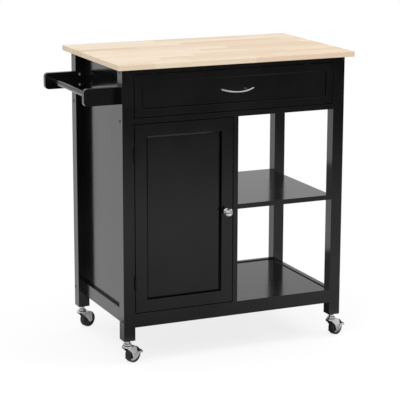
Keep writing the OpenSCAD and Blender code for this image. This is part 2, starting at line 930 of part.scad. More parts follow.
// A hinge leaf beside the plane x = 0, which faces +X: knuckles are its slots
module leaf(slots) {
    difference() {
        union() {
            translate([-leaf_t, -leg_out_y, -hinge_l / 2]) cube([leaf_t, leaf_w, hinge_l]);
            for (i = slots) translate([0, 0, (i - 1) * knuckle_pitch - knuckle_l / 2]) {
                translate([-leaf_t, hinge_y, 0]) cube([leaf_t, -leg_out_y - hinge_y + 1, knuckle_l]);
                translate([door_gap / 2, hinge_y, 0]) cylinder(h = knuckle_l, d = knuckle_d);
            }
        }
        translate([door_gap / 2, hinge_y, -hinge_l])
            cylinder(h = 2 * hinge_l, d = hinge_pin_d + 2 * fit_gap);
    }
}

// Room for a leaf let into the wood
module mortise() {
    translate([-leaf_t, -leg_out_y - 1, -hinge_l / 2]) cube([leaf_t + 1, leaf_w + 1, hinge_l]);
}

module hinge_frame_mortises() {
    for (z = hinge_zs) translate([-leg_in_x, 0, z]) mortise();
    at_hinge_screws(-leg_in_x, -1) fine_screw(leaf_t + 2 * screw_grip, fit_gap);
}

module hinge_door_mortises() {
    for (z = hinge_zs) translate([door_x0, 0, z]) mirror([1, 0, 0]) mortise();
    at_hinge_screws(door_x0, 1) fine_screw(leaf_t + 2 * screw_grip, fit_gap);
}

module hinge_frame_leaves() {
    color(dark_steel) placed() difference() {
        for (z = hinge_zs) translate([-leg_in_x, 0, z]) leaf([0, 2]);
        at_hinge_screws(-leg_in_x, -1) fine_screw(leaf_t + 2 * screw_grip, fit_gap);
    }
}

module hinge_door_leaves() {
    color(dark_steel) placed() {
        difference() {
            for (z = hinge_zs) translate([door_x0, 0, z]) mirror([1, 0, 0]) leaf([1]);
            at_hinge_screws(door_x0, 1) fine_screw(leaf_t + 2 * screw_grip, fit_gap);
        }
        at_hinge_screws(door_x0, 1) fine_screw(leaf_t + 2 * screw_grip, 0);
    }
}

module hinge_pins() {
    color(dark_steel) placed() for (z = hinge_zs) translate([hinge_x, hinge_y, z - hinge_l / 2]) {
        cylinder(h = hinge_l, d = hinge_pin_d);
        translate([0, 0, hinge_l]) cylinder(h = pin_head_h, d = knuckle_d - 1);
    }
}

// Places children at the catch plate's outer face, facing into the door
module at_catch_plate() {
    translate([knob_x, door_back_y + plate_t, deck_z - catch_h / 2 - 1.5]) rotate([90, 0, 0]) children();
}

// Magnet in its case under the drawer deck
module magnetic_catch() {
    color(tyre_black) placed() board(
        [divider_x0 - catch_w, catch_y, deck_z - catch_h],
        [divider_x0, catch_y + catch_d, deck_z]
    );
}

module catch_plate() {
    color(zinc) placed() {
        at_catch_plate() difference() {
            cylinder(h = plate_t, d = plate_d);
            fine_screw(screw_grip, fit_gap);
        }
        at_catch_plate() fine_screw(screw_grip, 0);
    }
}

// ---- Casters ----

// Turns a caster part to its heading at one corner
module at_caster(side, face) {
    translate([side * caster_x, face * caster_y, 0]) rotate([0, 0, caster_heading]) children();
}

// Stem, lock nut, upper race and kingpin, which stay with the leg
module caster_stem() {
    pin_r = stem_d / 2;
    rotate_extrude() polygon([
        [0, crown_z - turn_gap - 2.4],
        [pin_r + 2, crown_z - turn_gap - 2.4],
        [pin_r + 2.6, crown_z - turn_gap],
        [pin_r, crown_z - turn_gap],
        [pin_r, head_top + turn_gap],
        [head_d / 2 - 4, head_top + turn_gap],
        [head_d / 2 - 3.4, head_top + turn_gap + 2],
        [head_d / 2 - 5, race_top],
        [pin_r, race_top],
        [pin_r, caster_h - 2],
        [pin_r + 4.5, caster_h - 2],
        [pin_r + 5.5, caster_h],
        [pin_r, caster_h],
        [pin_r, caster_h + stem_l - 1],
        [pin_r - 1, caster_h + stem_l],
        [0, caster_h + stem_l]
    ]);
    translate([0, 0, race_top]) cylinder(h = (caster_h - 2 - race_top) * 0.7, r = pin_r + 3, $fn = 6);
}

// Side view of a cheek's upper front, as [trail, height]
function cheek_front() = [
    [-head_d / 2 + 5, crown_z + 2],
    [-head_d / 2 + 4, crown_z - 3],
    [-5.5, crown_z - 7],
    [5, crown_z - 17]
];

// Side view of a plain cheek, round at the axle
function plain_cheek() = concat(
    cheek_front(),
    [for (a = [200 : 10 : 360]) [caster_trail, wheel_r] + axle_d * 1.3 * [cos(a), sin(a)]],
    [
        [caster_trail + axle_d * 1.3, crown_z - 6],
        [caster_trail + 5.5, crown_z - 2],
        [caster_trail - 3, crown_z + 2]
    ]
);

// Side view of a cheek with a brake, hooked forward under the axle
function braked_cheek() = concat(
    cheek_front(),
    [for (p = [
        [-13, -3.5],
        [-12.7, -7.5],
        [-15, -9.2],
        [-20.3, -9.2],
        [-20.3, -12.5],
        [-17, -14.5],
        [-10, -15.8],
        [-2.5, -14.5],
        [5.5, -11],
        [12.5, -5],
        [17.5, 1],
        [20.5, 7],
        [14.5, 8],
        [8, 9.5],
        [4, 13.5],
        [3.5, 21]
    ]) [caster_trail, wheel_r] + p],
    [[caster_trail - 3, crown_z + 2]]
);

module cheek(outline) {
    rotate([90, 0, 0]) linear_extrude(cheek_t) difference() {
        polygon(outline);
        translate([caster_trail, wheel_r]) circle(d = axle_d);
    }
}

// Swivel head, crown and cheeks, with the axle riveted between them
module caster_fork(outline) {
    crown_end = caster_trail - 4;
    difference() {
        union() {
            translate([0, 0, crown_z]) cylinder(h = head_top - crown_z - 1, d = head_d);
            translate([0, 0, head_top - 1]) cylinder(h = 1, d1 = head_d, d2 = head_d - 2);
            translate([0, -cheek_out, crown_z]) cube([crown_end, 2 * cheek_out, 2]);
            for (y = [-cheek_in, cheek_out]) translate([0, y, 0]) cheek(outline);
        }
        translate([0, 0, crown_z - 10]) cylinder(h = 20, d = stem_d + 2 * fit_gap);
    }
    rod_y(-cheek_out, cheek_out, caster_trail, wheel_r, axle_d);
    for (y = [-cheek_out - rivet_h, cheek_out])
        rod_y(y, y + rivet_h, caster_trail, wheel_r, axle_d + 3);
}

// Moulded wheel with a dished hub
module caster_wheel() {
    half = wheel_w / 2;
    bore = axle_d / 2 + fit_gap;
    hub = axle_d / 2 + 4.5;
    dish = wheel_r - 6;
    profile = [
        [bore, -half],
        [hub, -half],
        [hub + 1, 2.5 - half],
        [dish - 1, 2.5 - half],
        [dish, -half],
        [wheel_r - 2.2, -half],
        [wheel_r - 0.7, 0.8 - half],
        [wheel_r, 3 - half],
        [wheel_r, half - 3],
        [wheel_r - 0.7, half - 0.8],
        [wheel_r - 2.2, half],
        [dish, half],
        [dish - 1, half - 2.5],
        [hub + 1, half - 2.5],
        [hub, half],
        [bore, half]
    ];
    translate([caster_trail, 0, wheel_r]) rotate([90, 0, 0])
        rotate_extrude($fn = 72) polygon(profile);
}

// Brake: a web behind the tyre, a pedal and two ears that pivot outside the cheeks
module caster_brake() {
    web_x = caster_trail + wheel_r + brake_gap;
    pedal_top = pedal_z + lever_t;
    ear_end = web_x + lever_t;
    board([web_x, -lever_out, web_z], [ear_end, lever_out, pedal_top]);
    board([web_x, -pedal_w / 2, pedal_z], [pedal_reach, pedal_w / 2, pedal_top]);
    for (y = [-lever_in, lever_out]) translate([0, y, 0]) rotate([90, 0, 0])
        linear_extrude(lever_t) brake_ear(ear_end, pedal_top);
    pin_l = lever_out - cheek_in - lever_t / 2;
    for (y = [-cheek_in - pin_l, cheek_in]) rod_y(y, y + pin_l, lever_x, lever_z, pivot_d);
}

// Side view of an ear, round at its pivot
module brake_ear(ear_end, pedal_top) {
    polygon(concat(
        [for (a = [75 : 15 : 285]) [lever_x, lever_z] + ear_r * [cos(a), sin(a)]],
        [[ear_end, web_z], [ear_end, pedal_top]]
    ));
}

module caster_stem_front_left() {
    color(zinc) placed() at_caster(-1, -1) caster_stem();
}

module caster_stem_front_right() {
    color(zinc) placed() at_caster(1, -1) caster_stem();
}

module caster_stem_back_left() {
    color(zinc) placed() at_caster(-1, 1) caster_stem();
}

module caster_stem_back_right() {
    color(zinc) placed() at_caster(1, 1) caster_stem();
}

// Fork with pivot holes for the brake
module braked_fork() {
    difference() {
        caster_fork(braked_cheek());
        rod_y(-cheek_out - 1, cheek_out + 1, lever_x, lever_z, pivot_d + 2 * fit_gap);
    }
}

module caster_fork_front_left() {
    color(zinc) placed() at_caster(-1, -1) braked_fork();
}

module caster_fork_front_right() {
    color(zinc) placed() at_caster(1, -1) braked_fork();
}

module caster_fork_back_left() {
    color(zinc) placed() at_caster(-1, 1) caster_fork(plain_cheek());
}

module caster_fork_back_right() {
    color(zinc) placed() at_caster(1, 1) caster_fork(plain_cheek());
}

module wheel_front_left() {
    color(tyre_black) placed() at_caster(-1, -1) caster_wheel();
}

module wheel_front_right() {
    color(tyre_black) placed() at_caster(1, -1) caster_wheel();
}

module wheel_back_left() {
    color(tyre_black) placed() at_caster(-1, 1) caster_wheel();
}

module wheel_back_right() {
    color(tyre_black) placed() at_caster(1, 1) caster_wheel();
}

module brake_front_left() {
    color(zinc) placed() at_caster(-1, -1) caster_brake();
}

module brake_front_right() {
    color(zinc) placed() at_caster(1, -1) caster_brake();
}

// ---- Output ----
worktop();
leg_front_left();
leg_front_right();
leg_back_left();
leg_back_right();
top_rail_front();
top_rail_back();
drawer_deck();
apron_back();
apron_right();
bottom_rail_front();
bottom_rail_back();
bottom_rail_left();
bottom_rail_right();
bottom_shelf();
mid_shelf();
side_panel_left();
divider();
back_panel();
cupboard_shelf();
shelf_pins();
towel_arm_front();
towel_arm_back();
towel_bar();
frame_bolts();
barrel_nuts();
wood_screws();
fixed_runners();
hinge_frame_leaves();
hinge_pins();
magnetic_catch();
caster_stem_front_left();
caster_stem_front_right();
caster_stem_back_left();
caster_stem_back_right();
drawer_front();
drawer_side_left();
drawer_side_right();
drawer_back();
drawer_bottom();
drawer_pull();
sliding_runners();
door_stile_hinge();
door_stile_knob();
door_rail_top();
door_rail_bottom();
door_panel();
door_knob();
hinge_door_leaves();
catch_plate();
caster_fork_front_left();
caster_fork_front_right();
caster_fork_back_left();
caster_fork_back_right();
wheel_front_left();
wheel_front_right();
wheel_back_left();
wheel_back_right();
brake_front_left();
brake_front_right();
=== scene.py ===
"""Dresses the kitchen island cart: finishes, eased edges, metalwork, light and camera."""
import json
import math

import bmesh
import bpy
from bpy.props import FloatProperty, FloatVectorProperty, IntProperty, PointerProperty
from mathutils import Matrix, Vector

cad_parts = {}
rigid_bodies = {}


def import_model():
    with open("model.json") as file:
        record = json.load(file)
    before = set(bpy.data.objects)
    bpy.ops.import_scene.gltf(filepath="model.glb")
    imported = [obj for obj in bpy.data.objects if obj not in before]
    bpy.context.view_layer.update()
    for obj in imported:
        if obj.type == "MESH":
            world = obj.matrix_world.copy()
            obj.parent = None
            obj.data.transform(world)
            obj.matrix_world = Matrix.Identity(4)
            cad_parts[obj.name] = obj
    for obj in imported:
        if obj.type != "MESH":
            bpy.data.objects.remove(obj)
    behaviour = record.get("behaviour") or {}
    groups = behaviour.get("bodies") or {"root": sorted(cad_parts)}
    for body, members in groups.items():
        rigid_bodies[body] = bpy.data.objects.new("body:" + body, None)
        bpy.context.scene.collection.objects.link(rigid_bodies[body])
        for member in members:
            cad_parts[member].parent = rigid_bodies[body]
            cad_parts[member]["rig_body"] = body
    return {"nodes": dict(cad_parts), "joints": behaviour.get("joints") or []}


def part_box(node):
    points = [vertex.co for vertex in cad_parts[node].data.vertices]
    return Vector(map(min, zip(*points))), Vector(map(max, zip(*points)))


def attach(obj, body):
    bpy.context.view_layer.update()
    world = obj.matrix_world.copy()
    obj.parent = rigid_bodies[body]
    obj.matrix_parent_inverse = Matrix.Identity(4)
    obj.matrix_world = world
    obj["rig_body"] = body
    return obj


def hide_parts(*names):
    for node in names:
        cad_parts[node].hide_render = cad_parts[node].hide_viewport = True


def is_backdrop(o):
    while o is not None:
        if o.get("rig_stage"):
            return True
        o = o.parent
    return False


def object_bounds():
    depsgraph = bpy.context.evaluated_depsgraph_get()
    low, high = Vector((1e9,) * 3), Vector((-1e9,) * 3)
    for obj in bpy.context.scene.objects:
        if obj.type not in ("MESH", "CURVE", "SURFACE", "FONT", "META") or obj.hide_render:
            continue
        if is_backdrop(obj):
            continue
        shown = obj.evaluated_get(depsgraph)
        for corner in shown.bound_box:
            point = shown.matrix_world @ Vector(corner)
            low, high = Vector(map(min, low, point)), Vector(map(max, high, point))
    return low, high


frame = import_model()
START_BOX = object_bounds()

bl_info = {
    "name": "Kitchen Island Cart",
    "version": (1, 0, 0),
    "blender": (4, 5, 0),
    "location": "View3D > Sidebar > Cart",
    "description": "Builds the visible pieces and finishes of a kitchen island cart",
    "category": "Object",
}

MM = 0.001
CORNERS = ("front_left", "front_right", "back_left", "back_right")
MERGE_DISTANCE = 2e-6
FLAT_ANGLE = math.radians(0.6)
X, Y, Z = Vector((1, 0, 0)), Vector((0, 1, 0)), Vector((0, 0, 1))
WHITE = (1.0, 1.0, 1.0)
BLACK = (0.0, 0.0, 0.0)


# ---- Sizes and colours ----


def colour_property(name, description, default):
    return FloatVectorProperty(
        name=name, description=description, default=default, subtype="COLOR", size=3, min=0.0, max=1.0
    )


def length_property(name, description, default):
    return FloatProperty(name=name, description=description, default=default, unit="LENGTH")


def angle_property(name, description, degrees):
    return FloatProperty(
        name=name, description=description, default=math.radians(degrees), subtype="ANGLE", unit="ROTATION"
    )


class CartFinishes(bpy.types.PropertyGroup):
    """Colours and surface qualities of the cart's finishes"""

    lacquer: colour_property("Lacquer", "Frame, door and drawer front", (0.0040, 0.0040, 0.0042))
    lacquer_roughness: FloatProperty(
        name="Lacquer Roughness", description="How much the lacquer blurs its mirror image", default=0.15
    )
    beech_light: colour_property("Light Staves", "Palest staves of the worktop", (0.84, 0.735, 0.58))
    beech_dark: colour_property("Dark Staves", "Warmest staves of the worktop", (0.69, 0.51, 0.335))
    birch: colour_property("Birch", "Birch boards of the drawer's box", (0.62, 0.47, 0.31))
    chrome: colour_property("Chrome", "Polished metal", (0.92, 0.925, 0.93))
    zinc: colour_property("Zinc", "Zinc-plated steel", (0.66, 0.67, 0.69))


class CartSizes(bpy.types.PropertyGroup):
    """Sizes that the construction leaves to the finish"""

    board_edge: length_property("Board Edge", "Radius of the edges of the lacquered boards", 0.25 * MM)
    worktop_edge: length_property("Worktop Edge", "Radius of the worktop's edges", 1.6 * MM)
    steel_edge: length_property("Sheet Edge", "Radius of the edges of the casters' sheet steel", 0.35 * MM)
    stave_width: length_property("Stave Width", "Width of the staves glued up into the worktop", 40 * MM)
    stave_length: length_property("Stave Length", "Mean length of the worktop's staves", 310 * MM)
    pull_thickness: length_property("Pull Thickness", "Thickness of the drawer pull at its posts", 6 * MM)
    round_segments: IntProperty(
        name="Round Segments", description="Segments of the turned pieces", min=24, max=128, default=64
    )


class CartStage(bpy.types.PropertyGroup):
    """Floor, light and camera"""

    sky: FloatProperty(name="Sky", description="Strength of the soft light from all round", default=0.80)
    key: FloatProperty(name="Key Lamp", description="Power of the large lamp at the left", default=36.0)
    floor_size: length_property("Floor Size", "Side of the floor", 60.0)
    azimuth: angle_property("Azimuth", "Heading of the camera round the cart", -24.10)
    elevation: angle_property("Elevation", "Height of the camera above the horizon", 13.02)
    roll: angle_property("Roll", "Roll of the camera about its own axis", 0.14)
    distance: length_property("Distance", "Distance of the camera from the cart's middle", 5.0695)
    lens: FloatProperty(name="Lens", description="Focal length in mm on a 36 mm frame", default=147.1)


# ---- Node trees ----


class Tree:
    """Adds nodes to one node tree, with their inputs given by name or number"""

    def __init__(self, tree, owner=None):
        self.tree = tree
        self.owner = owner
        tree.nodes.clear()

    def add(self, kind, inputs=None, **settings):
        node = self.tree.nodes.new(kind)
        for name, value in settings.items():
            setattr(node, name, value)
        for key, value in (inputs or {}).items():
            self.feed(node.inputs[key], value)
        return node

    def feed(self, socket, value):
        if isinstance(value, bpy.types.NodeSocket):
            self.tree.links.new(value, socket)
        else:
            socket.default_value = value

    def math(self, operation, a, b=0):
        return self.add("ShaderNodeMath", {0: a, 1: b}, operation=operation).outputs[0]

    def plus(self, a, b):
        return self.math("ADD", a, b)

    def minus(self, a, b):
        return self.math("SUBTRACT", a, b)

    def times(self, a, b):
        return self.math("MULTIPLY", a, b)

    def size(self, a):
        return self.math("ABSOLUTE", a)

    def vector(self, operation, a, b=BLACK, output="Vector"):
        return self.add("ShaderNodeVectorMath", {0: a, 1: b}, operation=operation).outputs[output]

    def axes(self, vector):
        return self.add("ShaderNodeSeparateXYZ", {0: vector}).outputs

    def point(self, x=0, y=0, z=0):
        return self.add("ShaderNodeCombineXYZ", {0: x, 1: y, 2: z}).outputs[0]

    def noise(self, coordinate, scale, detail=2, roughness=0.5, distortion=0):
        inputs = {"Vector": coordinate, "Scale": scale, "Detail": detail}
        inputs.update(Roughness=roughness, Distortion=distortion)
        return self.add("ShaderNodeTexNoise", inputs).outputs["Fac"]

    def stretched(self, coordinate, scale):
        return self.add("ShaderNodeMapping", {"Vector": coordinate, "Scale": scale}).outputs["Vector"]

    def ranged(self, value, low, high, to_low=0, to_high=1, kind="LINEAR"):
        inputs = {"Value": value, "From Min": low, "From Max": high, "To Min": to_low, "To Max": to_high}
        return self.add("ShaderNodeMapRange", inputs, interpolation_type=kind).outputs["Result"]

    def grey_ramp(self, value, stops):
        """A grey that runs through the stops: each is (place, grey)"""
        node = self.add("ShaderNodeValToRGB", {"Fac": value})
        points = node.color_ramp.elements
        while len(points) < len(stops):
            points.new(0.5)
        for point, (place, grey) in zip(points, stops):
            point.position = place
            point.color = (grey, grey, grey, 1)
        return node.outputs["Color"]

    def mix(self, factor, a, b):
        node = self.add("ShaderNodeMix", data_type="RGBA", blend_type="MIX")
        colours = [s for s in node.inputs if s.type == "RGBA"]
        self.feed(node.inputs[0], factor)
        for socket, value in zip(colours, (a, b)):
            self.feed(socket, value if isinstance(value, bpy.types.NodeSocket) else (*value, 1))
        return next(s for s in node.outputs if s.type == "RGBA")

    def tinted(self, tone, colour, value, low, high, share=1):
        """The tone, with up to a share of a colour where a value rises from low to high"""
        return self.mix(self.ranged(value, low, high, 0, share), tone, colour)

    def bump(self, height, strength, distance, normal=None):
        inputs = {"Height": height, "Strength": strength, "Distance": distance}
        if normal is not None:
            inputs["Normal"] = normal
        return self.add("ShaderNodeBump", inputs).outputs["Normal"]

    def surface(self, tone, blur, relief, **others):
        """Ends a finish and returns it; others are more of the shader's inputs, with _ for a space"""
        inputs = {"Base Color": tone, "Roughness": blur, "Normal": relief}
        inputs.update((name.replace("_", " "), value) for name, value in others.items())
        shader = self.add("ShaderNodeBsdfPrincipled", inputs)
        self.add("ShaderNodeOutputMaterial", {"Surface": shader.outputs["BSDF"]})
        return self.owner

    def glow(self, colour, strength=1):
        return self.add("ShaderNodeEmission", {"Color": colour, "Strength": strength}).outputs[0]

    def matt(self, grey):
        return self.add("ShaderNodeBsdfDiffuse", {"Color": (grey, grey, grey, 1)}).outputs[0]

    def blend(self, factor, a, b):
        return self.add("ShaderNodeMixShader", {0: factor, 1: a, 2: b}).outputs[0]

    def share_of(self, name):
        """A face attribute: eased is 1 on a board's rounded edges, painted_shade on a recess's slopes, which
        are painted darker and duller as shade
        """
        return self.add("ShaderNodeAttribute", attribute_name=name).outputs["Fac"]


def new_finish(name):
    """A new material's tree and the place on the piece"""
    material = bpy.data.materials.new(name)
    material.use_nodes = True
    tree = Tree(material.node_tree, material)
    return tree, tree.add("ShaderNodeTexCoord").outputs["Object"]


def scaled(colour, factor):
    return tuple(channel * factor for channel in colour)


# ---- Finishes ----


def lacquer_finish(finishes):
    """Sprayed black lacquer: faint orange peel, dust, worn arrises, and painted shade on the recess slopes
    """
    tree, point = new_finish("black_lacquer_sprayed")
    body = tuple(finishes.lacquer)
    worn = (0.055, 0.052, 0.05)
    # Painted shade: the near-black colour laid on a recess's slopes, where shade falls
    dull = (0.0012, 0.0012, 0.0013)
    cloud = tree.noise(point, 9, 3)
    peel = tree.noise(point, 520, 2, 0.6)
    wave = tree.noise(point, 38, 1)
    dust = tree.ranged(tree.noise(point, 1400, 0), 0.74, 0.8)
    wear = tree.ranged(tree.noise(point, 45, 4, 0.7), 0.45, 0.75, 0.25, 1)
    rub = tree.times(tree.share_of("eased"), wear)
    painted_shade = tree.share_of("painted_shade")
    tone = tree.tinted(body, scaled(body, 1.5), cloud, 0.35, 0.65)
    tone = tree.mix(tree.times(rub, 0.3), tone, worn)
    # Painted shade on the recess slopes: a darker colour and a lower specular level there
    tone = tree.mix(painted_shade, tone, dull)
    shine = tree.ranged(painted_shade, 0, 1, 0.5, 0.15)
    rough = finishes.lacquer_roughness
    blur = tree.ranged(cloud, 0.3, 0.7, rough - 0.015, rough + 0.02)
    blur = tree.plus(blur, tree.times(rub, 0.12))
    blur = tree.plus(blur, tree.times(dust, 0.1))
    relief = tree.bump(wave, 0.05, 0.0006)
    relief = tree.bump(peel, 0.035, 0.0002, relief)
    return tree.surface(tone, blur, relief, IOR=1.52, Specular_IOR_Level=shine)


def stave_cell(tree, point, sizes):
    """The random values of the stave at a point, and how far the point is from a joint"""
    x, y, _ = tree.axes(point)
    first_joint = 0.013
    start_spread = 1.7
    finger_pitch = 7 * MM
    finger_reach = 7 * MM
    row_place = tree.math("DIVIDE", tree.plus(y, first_joint), sizes.stave_width)
    row = tree.math("FLOOR", row_place)
    across = tree.math("FRACT", row_place)
    row_luck = tree.add("ShaderNodeTexWhiteNoise", {"W": row}, noise_dimensions="1D").outputs
    start = tree.times(row_luck["Value"], start_spread)
    fingers = tree.math("PINGPONG", y, finger_pitch / 2)
    slant = tree.times(fingers, finger_reach / (finger_pitch / 2))
    mean = sizes.stave_length
    piece_length = tree.ranged(row_luck["Color"], 0, 1, 0.75 * mean, 1.25 * mean)
    along_place = tree.math("DIVIDE", tree.plus(tree.plus(x, slant), start), piece_length)
    piece = tree.math("FLOOR", along_place)
    along = tree.math("FRACT", along_place)
    luck = tree.add("ShaderNodeTexWhiteNoise", {"Vector": tree.point(row, piece)}, noise_dimensions="3D")
    side_gap = tree.times(tree.math("PINGPONG", across, 0.5), sizes.stave_width)
    end_gap = tree.times(tree.math("PINGPONG", along, 0.5), mean)
    return luck.outputs, tree.math("MINIMUM", side_gap, end_gap)


def beech_finish(finishes, sizes):
    """Glued-up beech staves with finger joints, pores and flecks, oiled to a satin"""
    tree, point = new_finish("beech_staves")
    luck, gap = stave_cell(tree, point, sizes)
    shift = tree.vector("MULTIPLY", luck["Color"], (9, 9, 9))
    placed = tree.vector("ADD", point, shift)
    figure = tree.noise(tree.stretched(placed, (2.2, 22, 22)), 2, 4, 0.55, 0.8)
    streaks = tree.noise(tree.stretched(placed, (5, 160, 160)), 2, 4, 0.6)
    pores = tree.noise(tree.stretched(placed, (90, 1500, 1500)), 1, 1)
    flecks = tree.noise(tree.stretched(placed, (260, 700, 700)), 1, 0)
    waves = {"Vector": tree.stretched(placed, (1, 7, 9)), "Scale": 4, "Distortion": 5}
    waves.update({"Detail": 2, "Detail Scale": 1.2})
    rings = tree.add("ShaderNodeTexWave", waves, wave_type="BANDS", bands_direction="Y").outputs["Fac"]
    share = tree.math("POWER", luck["Value"], 1.5)
    tone = tree.mix(share, tuple(finishes.beech_light), tuple(finishes.beech_dark))
    tone = tree.tinted(tone, (0.82, 0.63, 0.48), luck["Color"], 0.3, 0.9, 0.45)
    tone = tree.tinted(tone, (0.72, 0.53, 0.37), figure, 0.4, 0.75, 0.3)
    tone = tree.tinted(tone, (0.66, 0.47, 0.31), rings, 0.6, 1, 0.15)
    tone = tree.tinted(tone, (0.66, 0.48, 0.32), streaks, 0.5, 0.8, 0.3)
    tone = tree.tinted(tone, (0.46, 0.31, 0.19), pores, 0.64, 0.74, 0.32)
    tone = tree.tinted(tone, (0.54, 0.36, 0.22), flecks, 0.68, 0.76, 0.2)
    end_turn = tree.axes(tree.add("ShaderNodeNewGeometry").outputs["True Normal"])[0]
    end_share = tree.ranged(tree.size(end_turn), 0.6, 0.8)
    end_rings = tree.noise(tree.stretched(placed, (1, 90, 420)), 1.6, 3, 0.6, 1.2)
    end_tone = tree.tinted((0.8, 0.64, 0.44), (0.64, 0.47, 0.29), end_rings, 0.3, 0.7)
    tone = tree.mix(tree.times(end_share, 0.55), tone, end_tone)
    joint = tree.ranged(gap, 0.1 * MM, 0.45 * MM, 1, 0)
    tone = tree.mix(tree.times(joint, 0.45), tone, (0.36, 0.23, 0.13))
    tone = tree.mix(tree.times(tree.share_of("eased"), 0.1), tone, (0.86, 0.73, 0.56))
    blur = tree.plus(tree.ranged(streaks, 0.3, 0.7, 0.36, 0.5), tree.times(pores, 0.06))
    relief = tree.bump(streaks, 0.1, 0.0003)
    relief = tree.bump(tree.minus(1, pores), 0.16, 0.0001, relief)
    relief = tree.bump(tree.minus(1, joint), 0.25, 0.0001, relief)
    return tree.surface(tone, blur, relief, IOR=1.46)


def birch_finish(finishes):
    """Birch boards inside the drawer: long soft grain, with plies on their edges"""
    tree, point = new_finish("birch_boards")
    birch = tuple(finishes.birch)
    deep = tuple(channel * share for channel, share in zip(birch, (0.8, 0.72, 0.62)))
    grain = tree.noise(tree.stretched(point, (3, 3, 60)), 2, 4, 0.6, 0.5)
    fine = tree.noise(tree.stretched(point, (25, 25, 700)), 1, 2)
    upward = tree.size(tree.axes(tree.add("ShaderNodeNewGeometry").outputs["True Normal"])[2])
    plies = tree.math("PINGPONG", tree.plus(tree.axes(point)[2], 0.004), 1.4 * MM)
    ply_share = tree.ranged(plies, 0.5 * MM, 0.9 * MM, 0, 0.35)
    flat_share = tree.minus(1, tree.ranged(upward, 0.3, 0.7))
    tone = tree.tinted(birch, deep, grain, 0.3, 0.75, 0.8)
    tone = tree.tinted(tone, deep, fine, 0.6, 0.75, 0.4)
    tone = tree.mix(tree.times(tree.times(ply_share, flat_share), 0.3), tone, deep)
    blur = tree.ranged(grain, 0.3, 0.7, 0.5, 0.62)
    return tree.surface(tone, blur, tree.bump(fine, 0.12, 0.0002), IOR=1.45)


def plated_finish(name, plating, roughness, stamped):
    """Plated steel: fine brushing, small dents where it was stamped, and dull specks"""
    tree, point = new_finish(name)
    plating = tuple(plating)
    haze = tree.noise(point, 60, 4, 0.65)
    specks = tree.ranged(tree.noise(point, 1100, 1), 0.7, 0.78)
    brush = tree.noise(tree.stretched(point, (900, 900, 90)), 1, 2)
    tone = tree.tinted(plating, scaled(plating, 0.82), haze, 0.35, 0.7)
    tone = tree.mix(tree.times(specks, 0.3), tone, scaled(plating, 0.55))
    blur = tree.ranged(haze, 0.3, 0.75, roughness, roughness * 1.6 + 0.02)
    blur = tree.plus(blur, tree.times(specks, 0.08))
    relief = tree.bump(brush, 0.02 + 0.05 * stamped, 0.00005)
    relief = tree.bump(tree.noise(point, 170, 1), 0.06 * stamped, 0.0004, relief)
    return tree.surface(tone, blur, relief, Metallic=1)


def black_steel_finish():
    """Blackened steel with a worn satin shine"""
    tree, point = new_finish("black_oxide_steel")
    haze = tree.noise(point, 140, 4, 0.65)
    rub = tree.noise(point, 420, 2)
    tone = tree.tinted((0.012, 0.012, 0.013), (0.04, 0.039, 0.038), rub, 0.55, 0.75)
    blur = tree.ranged(haze, 0.3, 0.7, 0.3, 0.44)
    return tree.surface(tone, blur, tree.bump(haze, 0.08, 0.0001), Metallic=0.6)


def rubber_finish():
    """Moulded wheel: dull tread and side with scuffs and floor dust"""
    tree, point = new_finish("moulded_black_wheel")
    grain = tree.noise(point, 900, 3, 0.6)
    scuff = tree.ranged(tree.noise(tree.stretched(point, (120, 120, 500)), 1, 3), 0.55, 0.75)
    dust = tree.ranged(tree.noise(point, 70, 4, 0.6), 0.5, 0.8, 0, 0.5)
    tone = tree.mix(tree.times(scuff, 0.5), (0.006, 0.006, 0.0065), (0.018, 0.0175, 0.017))
    tone = tree.mix(tree.times(dust, 0.4), tone, (0.03, 0.028, 0.026))
    relief = tree.bump(grain, 0.1, 0.0001)
    relief = tree.bump(scuff, 0.08, 0.0001, relief)
    return tree.surface(tone, tree.ranged(grain, 0.3, 0.7, 0.4, 0.56), relief, IOR=1.5)


def plastic_finish():
    """Moulded black plastic with a fine spark-eroded grain"""
    tree, point = new_finish("grained_black_plastic")
    grain = tree.noise(point, 2200, 2, 0.6)
    cloud = tree.noise(point, 90, 3)
    tone = tree.tinted((0.016, 0.016, 0.017), (0.027, 0.027, 0.028), cloud, 0.3, 0.7)
    return tree.surface(tone, tree.ranged(grain, 0.3, 0.7, 0.42, 0.55), tree.bump(grain, 0.18, 0.0001))


FINISHES = {}


def make_finishes(scene):
    """Makes the material for each of the construction's slots"""
    finishes, sizes = scene.cart_finishes, scene.cart_sizes
    FINISHES.clear()
    FINISHES.update(
        black_lacquer=lacquer_finish(finishes),
        beech_block=beech_finish(finishes, sizes),
        birch_board=birch_finish(finishes),
        zinc_steel=plated_finish("zinc_plated_steel", finishes.zinc, 0.2, 1),
        chrome=plated_finish("polished_chrome", finishes.chrome, 0.06, 0),
        black_steel=black_steel_finish(),
        wheel_rubber=rubber_finish(),
        black_plastic=plastic_finish(),
    )


def slot_of(node):
    return frame["nodes"][node]["cart_slot"]


def body_of(node):
    return frame["nodes"][node]["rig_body"]


# ---- Shaping ----


def middle_of(node):
    low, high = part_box(node)
    return (low + high) / 2


def new_object(name, data):
    thing = bpy.data.objects.new(name, data)
    bpy.context.scene.collection.objects.link(thing)
    return thing


def add_piece(name, mesh, node, body=None, replaced=()):
    """Shows a finished mesh as a piece that rides with a node's body"""
    piece = new_object(name, mesh)
    slot = slot_of(node)
    mesh.materials.clear()
    mesh.materials.append(FINISHES[slot])
    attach(piece, body or body_of(node))
    if replaced:
        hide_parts(*replaced)


def mesh_from(shape, name):
    mesh = bpy.data.meshes.new(name)
    shape.normal_update()
    shape.to_mesh(mesh)
    shape.free()
    return mesh


def smooth_by_angle(mesh, degrees):
    mesh.shade_smooth()
    mesh.set_sharp_from_angle(angle=math.radians(degrees))


